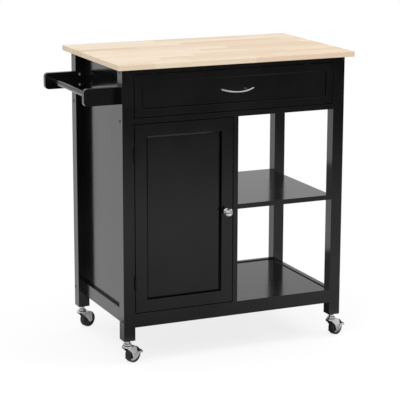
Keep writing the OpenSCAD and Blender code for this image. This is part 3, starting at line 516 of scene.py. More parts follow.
def add_round_piece(shape, node, ending, degrees):
    """Replaces a node by a closed shape, smooth where its faces meet at less than an angle"""
    bmesh.ops.recalc_face_normals(shape, faces=shape.faces)
    name = node + ending
    mesh = mesh_from(shape, name)
    smooth_by_angle(mesh, degrees)
    add_piece(name, mesh, node, replaced=(node,))


def merged_copy(node):
    """A node's shape as one welded mesh, with its flat faces whole"""
    shape = bmesh.new()
    shape.from_mesh(frame["nodes"][node].data)
    bmesh.ops.remove_doubles(shape, verts=shape.verts, dist=MERGE_DISTANCE)
    bmesh.ops.dissolve_limit(shape, angle_limit=FLAT_ANGLE, verts=shape.verts, edges=shape.edges)
    return shape


def ease_edges(shape, radius, shortest):
    """Rounds a shape's long outer edges, and marks the faces that this adds"""
    layer = shape.faces.layers.float.new("eased")
    sharpest_left = math.radians(35)
    widest = 1.5 * radius
    sharp = [
        edge
        for edge in shape.edges
        if edge.is_manifold
        and edge.calc_length() > shortest
        and edge.calc_face_angle_signed() > sharpest_left
    ]
    rounded = bmesh.ops.bevel(
        shape, geom=sharp, offset=radius, segments=2, profile=0.5, affect="EDGES", clamp_overlap=False
    )
    for face in shape.faces:
        face.smooth = False
    for face in rounded["faces"]:
        if 2 * face.calc_area() < widest * face.calc_perimeter():
            face[layer] = 1.0
            face.smooth = True


def mark_painted_shade(shape, lowest):
    """Marks the slopes round a front's recess for painted shade, but for those that face down past a limit
    """
    layer = shape.faces.layers.float.new("painted_shade")
    eased = shape.faces.layers.float["eased"]
    for face in shape.faces:
        if face[eased] < 0.5 and 0.3 < -face.normal.y < 0.95 and face.normal.z > lowest:
            face[layer] = 1.0


def eased_piece(node, radius, shortest=6 * MM, painted_shade_above=None):
    """Replaces a board by the same board with eased edges"""
    shape = merged_copy(node)
    ease_edges(shape, radius, shortest)
    if painted_shade_above is not None:
        shape.normal_update()
        mark_painted_shade(shape, painted_shade_above)
    name = node + "_eased"
    add_piece(name, mesh_from(shape, name), node, replaced=(node,))


def circle(count):
    """The angles of evenly spaced points on a circle"""
    return [2 * math.pi * i / count for i in range(count)]


def bridge(shape, first, second):
    """Joins two rings of points by faces; a ring may be one point over and over"""
    for i in range(len(first)):
        j = (i + 1) % len(first)
        corners = dict.fromkeys((first[i], first[j], second[j], second[i]))
        if len(corners) > 2:
            shape.faces.new(tuple(corners))


def turned(shape, profile, origin, axis, segments):
    """Adds a closed turned form: the profile holds (distance along the axis, radius) in mm"""
    side = axis.orthogonal().normalized()
    up = axis.cross(side)
    spokes = [side * math.cos(a) + up * math.sin(a) for a in circle(segments)]
    rings = []
    for along, radius in profile:
        centre = origin + axis * (along * MM)
        if radius == 0:
            rings.append([shape.verts.new(centre)] * segments)
        else:
            rings.append([shape.verts.new(centre + radius * MM * spoke) for spoke in spokes])
    for low, high in zip(rings, rings[1:] + rings[:1]):
        bridge(shape, low, high)


def rounded_profile(corners, radii, steps=4):
    """A profile with its corners rounded: one radius for each corner, and 0 at both ends"""
    points = []
    most = 0.49
    for i, (corner, radius) in enumerate(zip(corners, radii)):
        if radius == 0:
            points.append(corner)
            continue
        here = Vector(corner)
        before = Vector(corners[i - 1]) - here
        after = Vector(corners[i + 1]) - here
        reach = min(radius, before.length * most, after.length * most)
        start = here + before.normalized() * reach
        end = here + after.normalized() * reach
        for k in range(steps + 1):
            t = k / steps
            point = start * (1 - t) ** 2 + here * 2 * t * (1 - t) + end * t ** 2
            points.append((point.x, point.y))
    return points


def both_ways(near):
    """A profile that ends at its middle, with its mirror image after it"""
    return near + [(-along, radius) for along, radius in reversed(near[:-1])]


# ---- Fasteners, by Geometry Nodes ----


class FastenerTree(Tree):
    """Geometry Nodes tree that sets one screw on each point, along its axis"""

    lengths = ("Head Diameter", "Head Height", "Edge Reach", "Drive Size", "Drive Depth")
    lengths += ("Shank Diameter", "Shank Length")
    choices = {"Drive Sides": "Int", "Cross Drive": "Bool", "Material": "Material"}

    def __init__(self, name):
        super().__init__(bpy.data.node_groups.new(name, "GeometryNodeTree"))
        self.socket("Geometry", "OUTPUT", "Geometry")
        self.socket("Geometry", "INPUT", "Geometry")
        kinds = dict.fromkeys(self.lengths, "Float") | self.choices
        self.ids = {label: self.socket(label, "INPUT", kind) for label, kind in kinds.items()}
        self.build()

    def socket(self, name, way, kind):
        sockets = self.tree.interface
        return sockets.new_socket(name=name, in_out=way, socket_type="NodeSocket" + kind).identifier

    def lifted(self, mesh, height):
        inputs = {"Geometry": mesh, "Translation": self.point(z=height)}
        return self.add("GeometryNodeTransform", inputs).outputs[0]

    def half(self, value):
        return self.math("DIVIDE", value, 2.0)

    def rod(self, sides, radius, depth, middle):
        inputs = {"Vertices": sides, "Radius": radius, "Depth": depth}
        rod = self.add("GeometryNodeMeshCylinder", inputs, fill_type="NGON")
        return self.lifted(rod.outputs["Mesh"], middle)

    def block(self, x, y, z, middle):
        cube = self.add("GeometryNodeMeshCube", {"Size": self.point(x, y, z)})
        return self.lifted(cube.outputs["Mesh"], middle)

    def united(self, *meshes):
        union = self.add("GeometryNodeMeshBoolean", operation="UNION", solver="EXACT")
        for mesh in meshes:
            self.feed(union.inputs["Mesh 2"], mesh)
        return union.outputs["Mesh"]

    def head_and_shank(self, given):
        head_sides = 32
        shank_sides = 20
        overlap = 0.2 * MM
        radius = self.half(given["Head Diameter"])
        reach = given["Edge Reach"]
        low_height = self.minus(given["Head Height"], reach)
        base = self.rod(head_sides, radius, low_height, self.half(low_height))
        sizes = {"Vertices": head_sides, "Radius Bottom": radius, "Depth": reach}
        sizes["Radius Top"] = self.minus(radius, reach)
        crown = self.add("GeometryNodeMeshCone", sizes, fill_type="NGON")
        crown = self.lifted(crown.outputs["Mesh"], low_height)
        reach_down = given["Shank Length"]
        shank = self.rod(
            shank_sides,
            self.half(given["Shank Diameter"]),
            self.plus(reach_down, overlap),
            self.minus(overlap / 2, self.half(reach_down)),
        )
        return self.united(base, crown, shank)

    def drive(self, given):
        """What is cut from the head: a socket with flat sides or a cross of two slots"""
        height = given["Head Height"]
        size = given["Drive Size"]
        depth = self.plus(given["Drive Depth"], given["Drive Depth"])
        socket = self.rod(given["Drive Sides"], self.half(size), depth, height)
        slot_width = self.times(size, 0.26)
        slots = self.united(
            self.block(size, slot_width, depth, height), self.block(slot_width, size, depth, height)
        )
        inputs = {"Switch": given["Cross Drive"], "False": socket, "True": slots}
        return self.add("GeometryNodeSwitch", inputs, input_type="GEOMETRY").outputs[0]

    def build(self):
        given = self.add("NodeGroupInput").outputs
        parts = {"Mesh 1": self.head_and_shank(given), "Mesh 2": self.drive(given)}
        screw = self.add("GeometryNodeMeshBoolean", parts, operation="DIFFERENCE", solver="EXACT")
        heading = self.add("GeometryNodeInputNamedAttribute", {"Name": "heading"}, data_type="FLOAT_VECTOR")
        facing = {"Vector": heading.outputs["Attribute"]}
        turn = self.add("FunctionNodeAlignRotationToVector", facing, axis="Z")
        inputs = {"Points": given["Geometry"], "Instance": screw.outputs["Mesh"]}
        inputs["Rotation"] = turn.outputs["Rotation"]
        placed = self.add("GeometryNodeInstanceOnPoints", inputs)
        real = self.add("GeometryNodeRealizeInstances", {"Geometry": placed.outputs["Instances"]})
        inputs = {"Geometry": real.outputs["Geometry"], "Material": given["Material"]}
        finished = self.add("GeometryNodeSetMaterial", inputs)
        self.add("NodeGroupOutput", {"Geometry": finished.outputs["Geometry"]})


def set_fasteners(tree, name, places, lengths, node, body="frame", sides=6, cross=False, replaced=()):
    """Sets a row of fasteners: each place is (seat of the head, direction it faces); lengths in mm"""
    points = bpy.data.meshes.new(name + "_seats")
    points.from_pydata([seat for seat, _ in places], [], [])
    heading = points.attributes.new("heading", "FLOAT_VECTOR", "POINT")
    for i, (_, facing) in enumerate(places):
        heading.data[i].vector = facing
    holder = new_object(name + "_seats", points)
    modifier = holder.modifiers.new("Fasteners", "NODES")
    modifier.node_group = tree.tree
    sizes = {label: value * MM for label, value in zip(tree.lengths, lengths)}
    sizes.update({"Drive Sides": sides, "Cross Drive": cross, "Material": FINISHES[slot_of(node)]})
    for label, value in sizes.items():
        modifier[tree.ids[label]] = value
    shown = holder.evaluated_get(bpy.context.evaluated_depsgraph_get())
    mesh = bpy.data.meshes.new_from_object(shown)
    mesh.name = name
    holder.modifiers.remove(modifier)
    bpy.data.objects.remove(holder)
    bpy.data.meshes.remove(points)
    if not mesh.polygons:
        raise RuntimeError(name + " has no faces")
    smooth_by_angle(mesh, degrees=35)
    add_piece(name, mesh, node, body=body, replaced=replaced)


# ---- Operators ----


class CART_OT_finishes(bpy.types.Operator):
    """Make the finishes and give each construction node its own"""

    bl_idname = "cart.finishes"
    bl_label = "Finishes"

    def execute(self, context):
        make_finishes(context.scene)
        for node, shown in frame["nodes"].items():
            slot = shown.material_slots[0].material.name.split(".")[0]
            if slot not in FINISHES:
                raise RuntimeError(f"{node} has no finish named {slot}")
            shown["cart_slot"] = slot
            for material_slot in shown.material_slots:
                material_slot.material = FINISHES[slot]
        return {"FINISHED"}


class CART_OT_worktop(bpy.types.Operator):
    """Make the butcher-block worktop with its eased edges"""

    bl_idname = "cart.worktop"
    bl_label = "Worktop"

    def execute(self, context):
        eased_piece("worktop", context.scene.cart_sizes.worktop_edge)
        return {"FINISHED"}


class CART_OT_frame_boards(bpy.types.Operator):
    """Make the legs, rails, panels and shelves with their eased edges"""

    bl_idname = "cart.frame_boards"
    bl_label = "Legs, Rails and Shelves"

    def execute(self, context):
        boards = ["leg_" + corner for corner in CORNERS]
        boards += ["top_rail_front", "top_rail_back", "drawer_deck", "apron_back", "apron_right"]
        boards += ["bottom_rail_" + side for side in ("front", "back", "left", "right")]
        boards += ["bottom_shelf", "mid_shelf", "side_panel_left", "divider", "back_panel"]
        boards += ["cupboard_shelf"]
        for node in boards:
            eased_piece(node, context.scene.cart_sizes.board_edge)
        return {"FINISHED"}


class CART_OT_towel_rail(bpy.types.Operator):
    """Make the towel arms and the round bar between them"""

    bl_idname = "cart.towel_rail"
    bl_label = "Towel Rail"

    def execute(self, context):
        sizes = context.scene.cart_sizes
        edge = sizes.board_edge
        for node in ("towel_arm_front", "towel_arm_back"):
            eased_piece(node, edge, 1.2 * MM)
        low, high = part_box("towel_bar")
        radius = (high.x - low.x) / 2 / MM
        half = (high.y - low.y) / 2 / MM
        eased = edge / MM
        near = [(-half, 0), (-half, radius - eased), (eased - half, radius), (0, radius)]
        shape = bmesh.new()
        turned(shape, both_ways(near), middle_of("towel_bar"), Y, sizes.round_segments)
        add_round_piece(shape, "towel_bar", "_turned", degrees=40)
        return {"FINISHED"}


class CART_OT_door(bpy.types.Operator):
    """Make the framed door and its panel with their eased edges"""

    bl_idname = "cart.door"
    bl_label = "Door"

    def execute(self, context):
        edge = context.scene.cart_sizes.board_edge
        for node in ("door_stile_hinge", "door_stile_knob", "door_rail_top", "door_rail_bottom"):
            eased_piece(node, edge * 0.8, painted_shade_above=-0.3)
        eased_piece("door_panel", edge * 0.6)
        return {"FINISHED"}


class CART_OT_drawer(bpy.types.Operator):
    """Make the drawer's front and its birch box with their eased edges"""

    bl_idname = "cart.drawer"
    bl_label = "Drawer"

    def execute(self, context):
        edge = context.scene.cart_sizes.board_edge
        eased_piece("drawer_front", edge, painted_shade_above=-1.0)
        for node in ("drawer_side_left", "drawer_side_right", "drawer_back"):
            eased_piece(node, edge * 1.2)
        return {"FINISHED"}


class PullBow:
    """The tilted arc that the drawer pull follows, thickest at its posts and slim at its tips"""

    rise = 18 * MM
    tilt = math.radians(30)
    section_turn = math.radians(25)
    post_x = 32 * MM
    depth_share = 0.74
    height_share = 0.96
    slimming = 0.22
    thickest_at = 0.66
    thick_reach = 0.3
    tip_start = 0.955
    tip_share = 0.12

    def __init__(self, thickness):
        low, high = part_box("drawer_pull")
        middle = middle_of("drawer_pull")
        self.half_thick = thickness / 2
        half_length = (high.x - low.x) / 2
        self.radius = (half_length ** 2 + self.rise ** 2) / (2 * self.rise)
        self.limit = math.asin((half_length - self.half_thick) / self.radius)
        self.sag = Vector((0, math.cos(self.tilt), math.sin(self.tilt)))
        self.z = middle_of("drawer_front").z
        post_sag = self.radius - math.sqrt(self.radius ** 2 - self.post_x ** 2)
        self.middle = Vector((middle.x, low.y + self.half_thick, self.z - post_sag * self.sag.z))

    def point(self, angle):
        across = Vector((self.radius * math.sin(angle), 0, 0))
        return self.middle + across + self.sag * self.radius * (1 - math.cos(angle))

    def tangent(self, angle):
        return Vector((math.cos(angle), 0, 0)) + self.sag * math.sin(angle)

    def half_sizes(self, place):
        """Half the depth and height of the section at a place from -1 to 1 along the bow"""
        tip = abs(place)
        swell = 1 - self.slimming * (1 - math.exp(-(((tip - self.thickest_at) / self.thick_reach) ** 2)))
        past = max(0.0, (tip - self.tip_start) / (1 - self.tip_start))
        taper = math.sqrt(max(0.0, 1 - past ** 2))
        half = self.half_thick * swell * max(taper, self.tip_share)
        return half * self.depth_share, half * self.height_share

    def section(self, shape, place, corners):
        """One ring of points round the bow"""
        angle = self.limit * place
        broad = Vector((0, -math.cos(self.section_turn), math.sin(self.section_turn)))
        tangent = self.tangent(angle)
        side = (broad - tangent * broad.dot(tangent)).normalized()
        upward = tangent.cross(side)
        centre = self.point(angle)
        deep, tall = self.half_sizes(place)
        return [
            shape.verts.new(centre + side * deep * math.cos(a) + upward * tall * math.sin(a))
            for a in circle(corners)
        ]

    def build(self, shape, stations, corners):
        places = [-1 + 2 * i / stations for i in range(stations + 1)]
        rings = [self.section(shape, place, corners) for place in places]
        for first, second in zip(rings, rings[1:]):
            bridge(shape, first, second)
        nub = self.half_thick * 0.15
        for ring, end in ((rings[-1], 1), (rings[0], -1)):
            angle = end * self.limit
            tip = shape.verts.new(self.point(angle) + end * nub * self.tangent(angle))
            bridge(shape, ring, [tip] * corners)

    def build_post(self, shape, end, seat, back, segments):
        """A post at one end, from the bow to its seat, and its screw as far as the front's back"""
        top = self.point(math.asin(self.post_x / self.radius)).y
        seat = (seat - top) / MM
        back = (back - top) / MM
        post = [(0, 0), (0, 2.2), (1.5, 2.35), (seat - 3.2, 2.6), (seat - 1.8, 3.0), (seat - 0.6, 4.0)]
        post += [(seat, 4.1), (seat, 2.0), (back, 2.0), (back, 4.0), (back + 1.2, 3.7)]
        post += [(back + 2.4, 2.4), (back + 2.4, 0)]
        start = Vector((self.middle.x + end * self.post_x, top, self.z))
        turned(shape, post, start, Y, segments)


class CART_OT_pull(bpy.types.Operator):
    """Make the bowed drawer pull with its posts and screws"""

    bl_idname = "cart.pull"
    bl_label = "Drawer Pull"

    def execute(self, context):
        front_low, front_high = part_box("drawer_front")
        recess = 2.5 * MM
        bow = PullBow(context.scene.cart_sizes.pull_thickness)
        shape = bmesh.new()
        bow.build(shape, stations=56, corners=20)
        for end in (-1, 1):
            bow.build_post(shape, end, front_low.y + recess, front_high.y, segments=28)
        add_round_piece(shape, "drawer_pull", "_bow", degrees=42)
        return {"FINISHED"}


class CART_OT_knob(bpy.types.Operator):
    """Make the turned door knob with its neck, rose and screw"""

    bl_idname = "cart.knob"
    bl_label = "Door Knob"

    def execute(self, context):
        low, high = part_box("door_knob")
        stile_low, stile_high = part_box("door_stile_knob")
        middle = middle_of("door_knob")
        face = stile_low.y
        radius = (high.x - low.x) / 2 / MM
        proj = (face - low.y) / MM
        back = (face - stile_high.y) / MM
        rose, neck, screw = 9.2, 4.4, 2.0
        corners = [(back - 2.4, 0), (back - 2.4, 3.9), (back, 4.0), (back, screw), (0, screw)]
        corners += [(0, rose), (1.4, rose), (3.0, 5.0), (proj * 0.48, neck), (proj * 0.64, radius - 1.8)]
        corners += [(proj * 0.72, radius), (proj * 0.82, radius), (proj, radius - 3.4)]
        corners += [(proj * 0.950, radius * 0.50), (proj * 0.925, radius * 0.20), (proj * 0.920, 0)]
        radii = [0, 0.5, 0, 0, 0, 0.6, 0.8, 1.4, 2.4, 1.4, 1.2, 2.6, 1.6, 1.6, 1.6, 0]
        shape = bmesh.new()
        start = Vector((middle.x, face, middle.z))
        segments = context.scene.cart_sizes.round_segments
        turned(shape, rounded_profile(corners, radii, steps=5), start, -Y, segments)
        add_round_piece(shape, "door_knob", "_turned", degrees=50)
        return {"FINISHED"}


def wheel_measures(corner):
    """Middle, axle direction, radius and half width of a wheel"""
    node = "wheel_" + corner
    joint = next(j for j in frame["joints"] if j["name"] == "wheel_spin_" + corner)
    axis = Vector(joint["axis"]).normalized()
    low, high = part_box(node)
    middle = middle_of(node)
    points = [v.co for v in frame["nodes"][node].data.vertices]
    half = max(abs((p - middle).dot(axis)) for p in points)
    return middle, axis, (high.z - low.z) / 2, half


def make_stem(corner, segments):
    """A turned stem with its dished race, its hexagon nut and its flange under the leg"""
    node = "caster_stem_" + corner
    low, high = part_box(node)
    middle = middle_of(node)
    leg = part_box("leg_" + corner)[0].z
    bottom = (low.z - leg) / MM
    top = (high.z - leg) / MM
    race = (high.x - low.x) / 2 / MM
    pin, flange, dish, rim = 5, -2, -16.8, -11.8
    corners = [(bottom, 0), (bottom, pin + 2.0), (bottom + 2.4, pin + 2.6), (bottom + 2.4, pin)]
    corners += [(dish, pin), (dish, race - 0.6), (dish + 2.0, race), (rim, race - 1.2), (rim, race - 2.6)]
    corners += [(dish + 2.2, race - 3.8), (dish + 1.8, pin + 1.8), (rim - 0.8, pin + 1.2), (rim - 0.4, pin)]
    corners += [(flange, pin), (flange, pin + 4.5), (0, pin + 5.5), (0, pin)]
    corners += [(top - 1, pin), (top, pin - 1), (top, 0)]
    radii = [0, 0.7, 0, 0, 0, 0.7, 1.6, 0.7, 0.7, 1.4, 0.7, 0.7, 0, 0, 0.7, 0, 0, 0, 0, 0]
    nut_low, nut_high = rim - 1.2, rim + 6.8
    nut = [(nut_low, 0), (nut_low, pin + 3.0), (nut_high - 0.6, pin + 3.0), (nut_high, pin + 2.2)]
    nut += [(nut_high, 0)]
    foot = Vector((middle.x, middle.y, leg))
    shape = bmesh.new()
    turned(shape, rounded_profile(corners, radii), foot, Z, segments)
    turned(shape, nut, foot, Z, 6)
    add_round_piece(shape, node, "_turned", degrees=32)


def make_wheel(corner, segments):
    """A moulded wheel: round-shouldered tread, recessed side and a hub boss"""
    middle, axis, radius, half = wheel_measures(corner)
    bore = 3.05
    rim = radius / MM
    side = -half / MM
    corners = [(side, bore), (side, bore + 3.6), (side + 1.8, bore + 4.6), (side + 2.2, bore + 5.6)]
    corners += [(side + 2.2, rim - 8.0), (side + 0.2, rim - 6.4), (side, rim - 5.2), (side + 0.2, rim - 2.6)]
    corners += [(side + 1.0, rim - 0.9), (side + 3.0, rim), (0, rim)]
    radii = [0, 0.8, 0.6, 1.0, 1.2, 0.8, 1.2, 1.2, 1.4, 2.0, 0]
    shape = bmesh.new()
    turned(shape, both_ways(rounded_profile(corners, radii)), middle, axis, segments)
    add_round_piece(shape, "wheel_" + corner, "_moulded", degrees=40)


class CART_OT_casters(bpy.types.Operator):
    """Make the casters' forks, brakes, turned heads and moulded wheels"""

    bl_idname = "cart.casters"
    bl_label = "Casters"

    def execute(self, context):
        edge = context.scene.cart_sizes.steel_edge
        segments = context.scene.cart_sizes.round_segments
        for corner in CORNERS:
            eased_piece("caster_fork_" + corner, edge, 1.0 * MM)
            make_stem(corner, segments)
            make_wheel(corner, segments + 32)
        for corner in CORNERS[:2]:
            eased_piece("brake_" + corner, edge, 1.0 * MM)
        return {"FINISHED"}


def set_frame_bolts(tree):
    """Hexagon-socket bolts in the legs' outer faces"""
    low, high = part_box("frame_bolts")
    leg = middle_of("leg_front_left")
    rail = middle_of("bottom_rail_front")
    rows = ((leg.y, middle_of("top_rail_front").z), (leg.y, middle_of("drawer_deck").z), (rail.y, rail.z))
    head = 4
    left, right = low.x + head * MM, high.x - head * MM
    places = []
    for y, z in rows:
        for depth in (y, -y):
            places += [(Vector((left, depth, z)), -X), (Vector((right, depth, z)), X)]
    reach = (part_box("top_rail_front")[0].x - left) / MM + 32
    lengths = (10, head, 0.7, 5.6, 2.6, 6, reach)
    set_fasteners(tree, "socket_bolts", places, lengths, "frame_bolts", replaced=("frame_bolts",))


def worktop_seats():
    """Places of the screws that go up through the top rails into the worktop"""
    x = middle_of("worktop").x
    y = middle_of("top_rail_front").y
    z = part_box("top_rail_front")[0].z
    reaches = (-250 * MM, -90 * MM, 90 * MM, 250 * MM)
    return [(Vector((x + reach, way * y, z)), -Z) for reach in reaches for way in (1, -1)]


def towel_arm_seats():
    """Places of the screws in the towel arms' outer sides"""
    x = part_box("leg_front_left")[0].x + 9 * MM
    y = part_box("towel_arm_front")[1].y
    z = middle_of("towel_arm_front").z
    lifts = (-16 * MM, 16 * MM)
    return [(Vector((x, way * y, z + lift)), way * Y) for lift in lifts for way in (1, -1)]


def runner_seats():
    """Places of the screws that hold the fixed runners"""
    low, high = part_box("fixed_runners")
    z = middle_of("fixed_runners").z
    sheet = 1.2 * MM
    inset = 30 * MM
    sides = ((low.x + sheet, X), (high.x - sheet, -X))
    return [(Vector((x, y, z)), way) for y in (low.y + inset, high.y - inset) for x, way in sides]


def hinge_leaf_seats():
    """Places of the screws in the hinges' frame leaves"""
    leg_low, leg_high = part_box("leg_front_left")
    pin_low, pin_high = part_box("hinge_pins")
    half_hinge = 20 * MM
    y = leg_low.y + 8.25 * MM
    middles = (pin_low.z + half_hinge, pin_high.z - half_hinge - 1.5 * MM)
    return [(Vector((leg_high.x, y, z + lift)), X) for z in middles for lift in (-12 * MM, 12 * MM)]


def set_wood_screws(tree):
    """Pan heads under the worktop and in the towel arms, flush heads in runners and hinges"""
    pan = (9, 2.4, 1.0, 4.6, 1.3, 4)
    flush = (6, 0.3, 0.2, 3.4, 1.0, 3)
    node = "wood_screws"
    for name, seats, head, length, replaced in (
        ("worktop_screws", worktop_seats(), pan, 26, (node,)),
        ("towel_arm_screws", towel_arm_seats(), pan, 35, ()),
        ("runner_screws", runner_seats(), flush, 9, ()),
        ("hinge_leaf_screws", hinge_leaf_seats(), flush, 21, ()),
    ):
        set_fasteners(tree, name, seats, head + (length,), node, cross=True, replaced=replaced)


def set_axle_ends(tree):
    """Domed ends of the axles outside the forks' cheeks"""
    for corner in CORNERS:
        middle, axis, _, half = wheel_measures(corner)
        cheek = half + 3.4 * MM
        places = [(middle + axis * cheek, axis), (middle - axis * cheek, -axis)]
        lengths = (8.2, 1.7, 0.9, 2.6, 0.6, 5.0, 1.5)
        node = "caster_fork_" + corner
        set_fasteners(tree, "axle_ends_" + corner, places, lengths, node, "swivel_" + corner, sides=16)


class CART_OT_fasteners(bpy.types.Operator):
    """Set the bolts, screws and axle ends"""

    bl_idname = "cart.fasteners"
    bl_label = "Fasteners"

    def execute(self, context):
        tree = FastenerTree("fastener_rows")
        for set_row in (set_frame_bolts, set_wood_screws, set_axle_ends):
            set_row(tree)
        return {"FINISHED"}


# ---- Stage ----


def ray_shares(tree):
    """1 for rays that see the surroundings plainly or through glass, and 1 for mirrored rays"""
    path = tree.add("ShaderNodeLightPath").outputs
    plain = tree.math("MAXIMUM", path["Is Camera Ray"], path["Is Transmission Ray"])
    return plain, path["Is Glossy Ray"]


def make_sky(stage):
    """White to the camera, an even light on the cart, and bands by height in its mirrors"""
    world = bpy.data.worlds.new("studio")
    world.use_nodes = True
    tree = Tree(world.node_tree)
    plain, glossy = ray_shares(tree)
    height = tree.axes(tree.add("ShaderNodeTexCoord").outputs["Generated"])[2]
    bands = ((0, 0.66), (0.2, 0.82), (0.31, 0.58), (0.48, 1), (0.68, 1), (0.86, 0.01))
    room = tree.grey_ramp(tree.ranged(height, 0, 1), bands)
    seen = tree.mix(glossy, scaled(WHITE, stage.sky), room)
    seen = tree.mix(plain, seen, WHITE)
    light = tree.add("ShaderNodeBackground", {"Color": seen, "Strength": 1})
    tree.add("ShaderNodeOutputWorld", {"Surface": light.outputs[0]})
    bpy.context.scene.world = world


def painted_floor_reflection(tree, place):
    """Painted light and shade that the floor shows only in the cart's mirrors: bands of grey ahead of it and
    beside it, white near its edges and a painted shadow under it
    """
    x, y, _ = tree.axes(place)
    middle_x = 0.034
    half_x = 0.36
    half_y = 0.2
    ahead = tree.vector("DOT_PRODUCT", place, (0.35, -0.94, 0), "Value")
    aside = tree.vector("DOT_PRODUCT", place, (0.94, 0.35, 0), "Value")
    bands = ((0.115, 1), (0.15, 0.12), (0.2, 0.12), (0.228, 0.2), (0.268, 0.31), (0.333, 0.42))
    bands += ((0.52, 0.53), (0.66, 0.29), (0.85, 0.08))
    painted_light_pool = tree.grey_ramp(tree.ranged(ahead, -1, 5), bands)
    reach_x = tree.minus(tree.size(tree.minus(x, middle_x)), half_x)
    reach_y = tree.minus(tree.size(y), half_y)
    reach = tree.math("MAXIMUM", reach_x, reach_y)
    # Painted light: the mirrored floor is lifted towards white to the right and near the cart's edges
    right_lift = tree.ranged(aside, -0.1, 0.3, 0, 0.3)
    right_lift = tree.times(right_lift, tree.ranged(ahead, 1.2, 1.7, 1, 0))
    right_lift = tree.times(right_lift, tree.ranged(ahead, 0.2, 0.4))
    painted_light_pool = tree.mix(right_lift, painted_light_pool, WHITE)
    off_edge = tree.ranged(reach, 0.05, 0.09)
    left_side = tree.ranged(x, -0.2, -0.1, 1, 0)
    near_share = tree.math("MAXIMUM", off_edge, left_side)
    near_share = tree.times(near_share, tree.ranged(reach, 0.2, 0.27, 1, 0))
    painted_light_pool = tree.mix(near_share, painted_light_pool, WHITE)
    # Painted shadow of the cart, darkening the floor under it in its mirrors
    under = tree.ranged(tree.size(x), 0.42, 0.6, 1, 0)
    under = tree.times(under, tree.ranged(tree.size(y), 0.2, 0.26, 1, 0))
    beside = tree.ranged(tree.size(aside), 0.8, 1.5, 1, 0.02)
    shade = tree.times(tree.minus(1, tree.times(under, 0.55)), beside)
    return tree.mix(shade, BLACK, painted_light_pool)


def make_floor(stage):
    """A pale floor that fades to white round the cart and keeps its shadow; in the cart's mirrors it glows
    with painted light and shade
    """
    half = stage.floor_size / 2
    mesh = bpy.data.meshes.new("floor")
    corners = [(-half, -half, 0), (half, -half, 0), (half, half, 0), (-half, half, 0)]
    mesh.from_pydata(corners, [], [(0, 1, 2, 3)])
    floor = new_object("floor", mesh)
    tree, point = new_finish("pale_floor")
    plain, glossy = ray_shares(tree)
    distance = tree.vector("LENGTH", point, output="Value")
    shadowed = tree.matt(0.22)
    lift = tree.glow((*WHITE, 1), 0.8)
    near = tree.add("ShaderNodeAddShader", {0: shadowed, 1: lift}).outputs[0]
    fade_start, fade_end = 0.75, 1.6
    fade = tree.ranged(distance, fade_start, fade_end, kind="SMOOTHSTEP")
    seen = tree.blend(fade, near, tree.glow((*WHITE, 1)))
    # For mirrored rays the floor glows with painted light and a painted shadow instead of a real reflection
    bounce_and_painted_reflection = tree.blend(glossy, tree.matt(0.9), tree.glow(painted_floor_reflection(tree, point)))
    tree.add("ShaderNodeOutputMaterial", {"Surface": tree.blend(plain, bounce_and_painted_reflection, seen)})
    mesh.materials.append(tree.owner)
    floor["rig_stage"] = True


def make_lamps(stage):
    """One broad lamp above the front left and a weaker one above the right"""
    target = Vector((0, 0, 0.5))
    for name, place, power, side in (
        ("key_lamp", (-1.6, -1.4, 3.4), stage.key, 2.4),
        ("fill_lamp", (1.7, -0.8, 3.2), stage.key * 0.7, 2),
    ):
        lamp = bpy.data.lights.new(name, "AREA")
        lamp.shape = "SQUARE"
        lamp.size = side
        lamp.energy = power
        holder = new_object(name, lamp)
        holder.location = place
        holder.visible_glossy = False
        aim = target - Vector(place)
        holder.rotation_euler = aim.to_track_quat("-Z", "Y").to_euler()


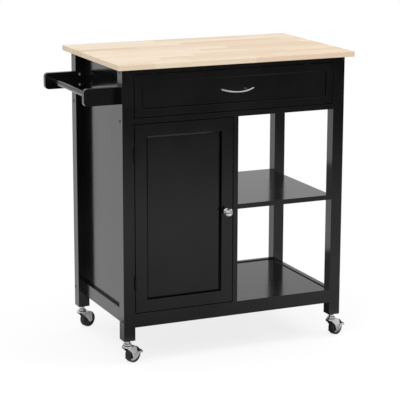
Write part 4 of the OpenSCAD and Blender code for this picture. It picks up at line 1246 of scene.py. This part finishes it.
def make_camera(stage):
    """A long lens aimed at the middle of the cart's body, a little off to the left and below"""
    azimuth, elevation = stage.azimuth, stage.elevation
    slide_right = -0.01943
    slide_up = -0.02332
    right = Vector((math.cos(azimuth), math.sin(azimuth), 0))
    level_back = Vector((math.sin(azimuth), -math.cos(azimuth), 0))
    back = level_back * math.cos(elevation) + Vector((0, 0, math.sin(elevation)))
    up = back.cross(right)
    aim = Vector((middle_of("worktop").x, 0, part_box("worktop")[1].z / 2))
    place = aim + back * stage.distance + right * slide_right + up * slide_up
    turn = Matrix((right, up, back)).transposed() @ Matrix.Rotation(stage.roll, 3, "Z")
    camera = bpy.data.cameras.new("view")
    camera.lens = stage.lens
    camera.sensor_width = 36
    camera.clip_end = 100
    holder = new_object("view", camera)
    holder.matrix_world = Matrix.Translation(place) @ turn.to_4x4()
    bpy.context.scene.camera = holder


class CART_OT_stage(bpy.types.Operator):
    """Make the floor, the soft light and the camera"""

    bl_idname = "cart.stage"
    bl_label = "Stage"

    def execute(self, context):
        for make in (make_sky, make_floor, make_lamps, make_camera):
            make(context.scene.cart_stage)
        return {"FINISHED"}


# ---- Panel ----

STEPS = (
    CART_OT_finishes,
    CART_OT_worktop,
    CART_OT_frame_boards,
    CART_OT_towel_rail,
    CART_OT_door,
    CART_OT_drawer,
    CART_OT_pull,
    CART_OT_knob,
    CART_OT_casters,
    CART_OT_fasteners,
    CART_OT_stage,
)


class CART_PT_builder(bpy.types.Panel):
    """Lists the cart's building steps with their sizes and colours"""

    bl_idname = "CART_PT_builder"
    bl_label = "Kitchen Island Cart"
    bl_space_type = "VIEW_3D"
    bl_region_type = "UI"
    bl_category = "Cart"

    def draw(self, context):
        for place, kind in SETTINGS.items():
            box = self.layout.box()
            for name in kind.__annotations__:
                box.prop(getattr(context.scene, place), name)
        column = self.layout.column(align=True)
        for step in STEPS:
            column.operator(step.bl_idname)


SETTINGS = {"cart_finishes": CartFinishes, "cart_sizes": CartSizes, "cart_stage": CartStage}
CLASSES = (*SETTINGS.values(), *STEPS, CART_PT_builder)


def register():
    for kind in CLASSES:
        bpy.utils.register_class(kind)
    for place, kind in SETTINGS.items():
        setattr(bpy.types.Scene, place, PointerProperty(type=kind))


def unregister():
    for place in SETTINGS:
        delattr(bpy.types.Scene, place)
    for kind in reversed(CLASSES):
        bpy.utils.unregister_class(kind)


def main():
    register()
    for step in STEPS:
        getattr(bpy.ops.cart, step.bl_idname.split(".")[1])()
    bpy.context.scene.view_settings.view_transform = "Standard"
    boxes = {"cad": START_BOX, "shown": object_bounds()}
    boxes = {name: [list(corner) for corner in box] for name, box in boxes.items()}


if __name__ == "__main__":
    main()
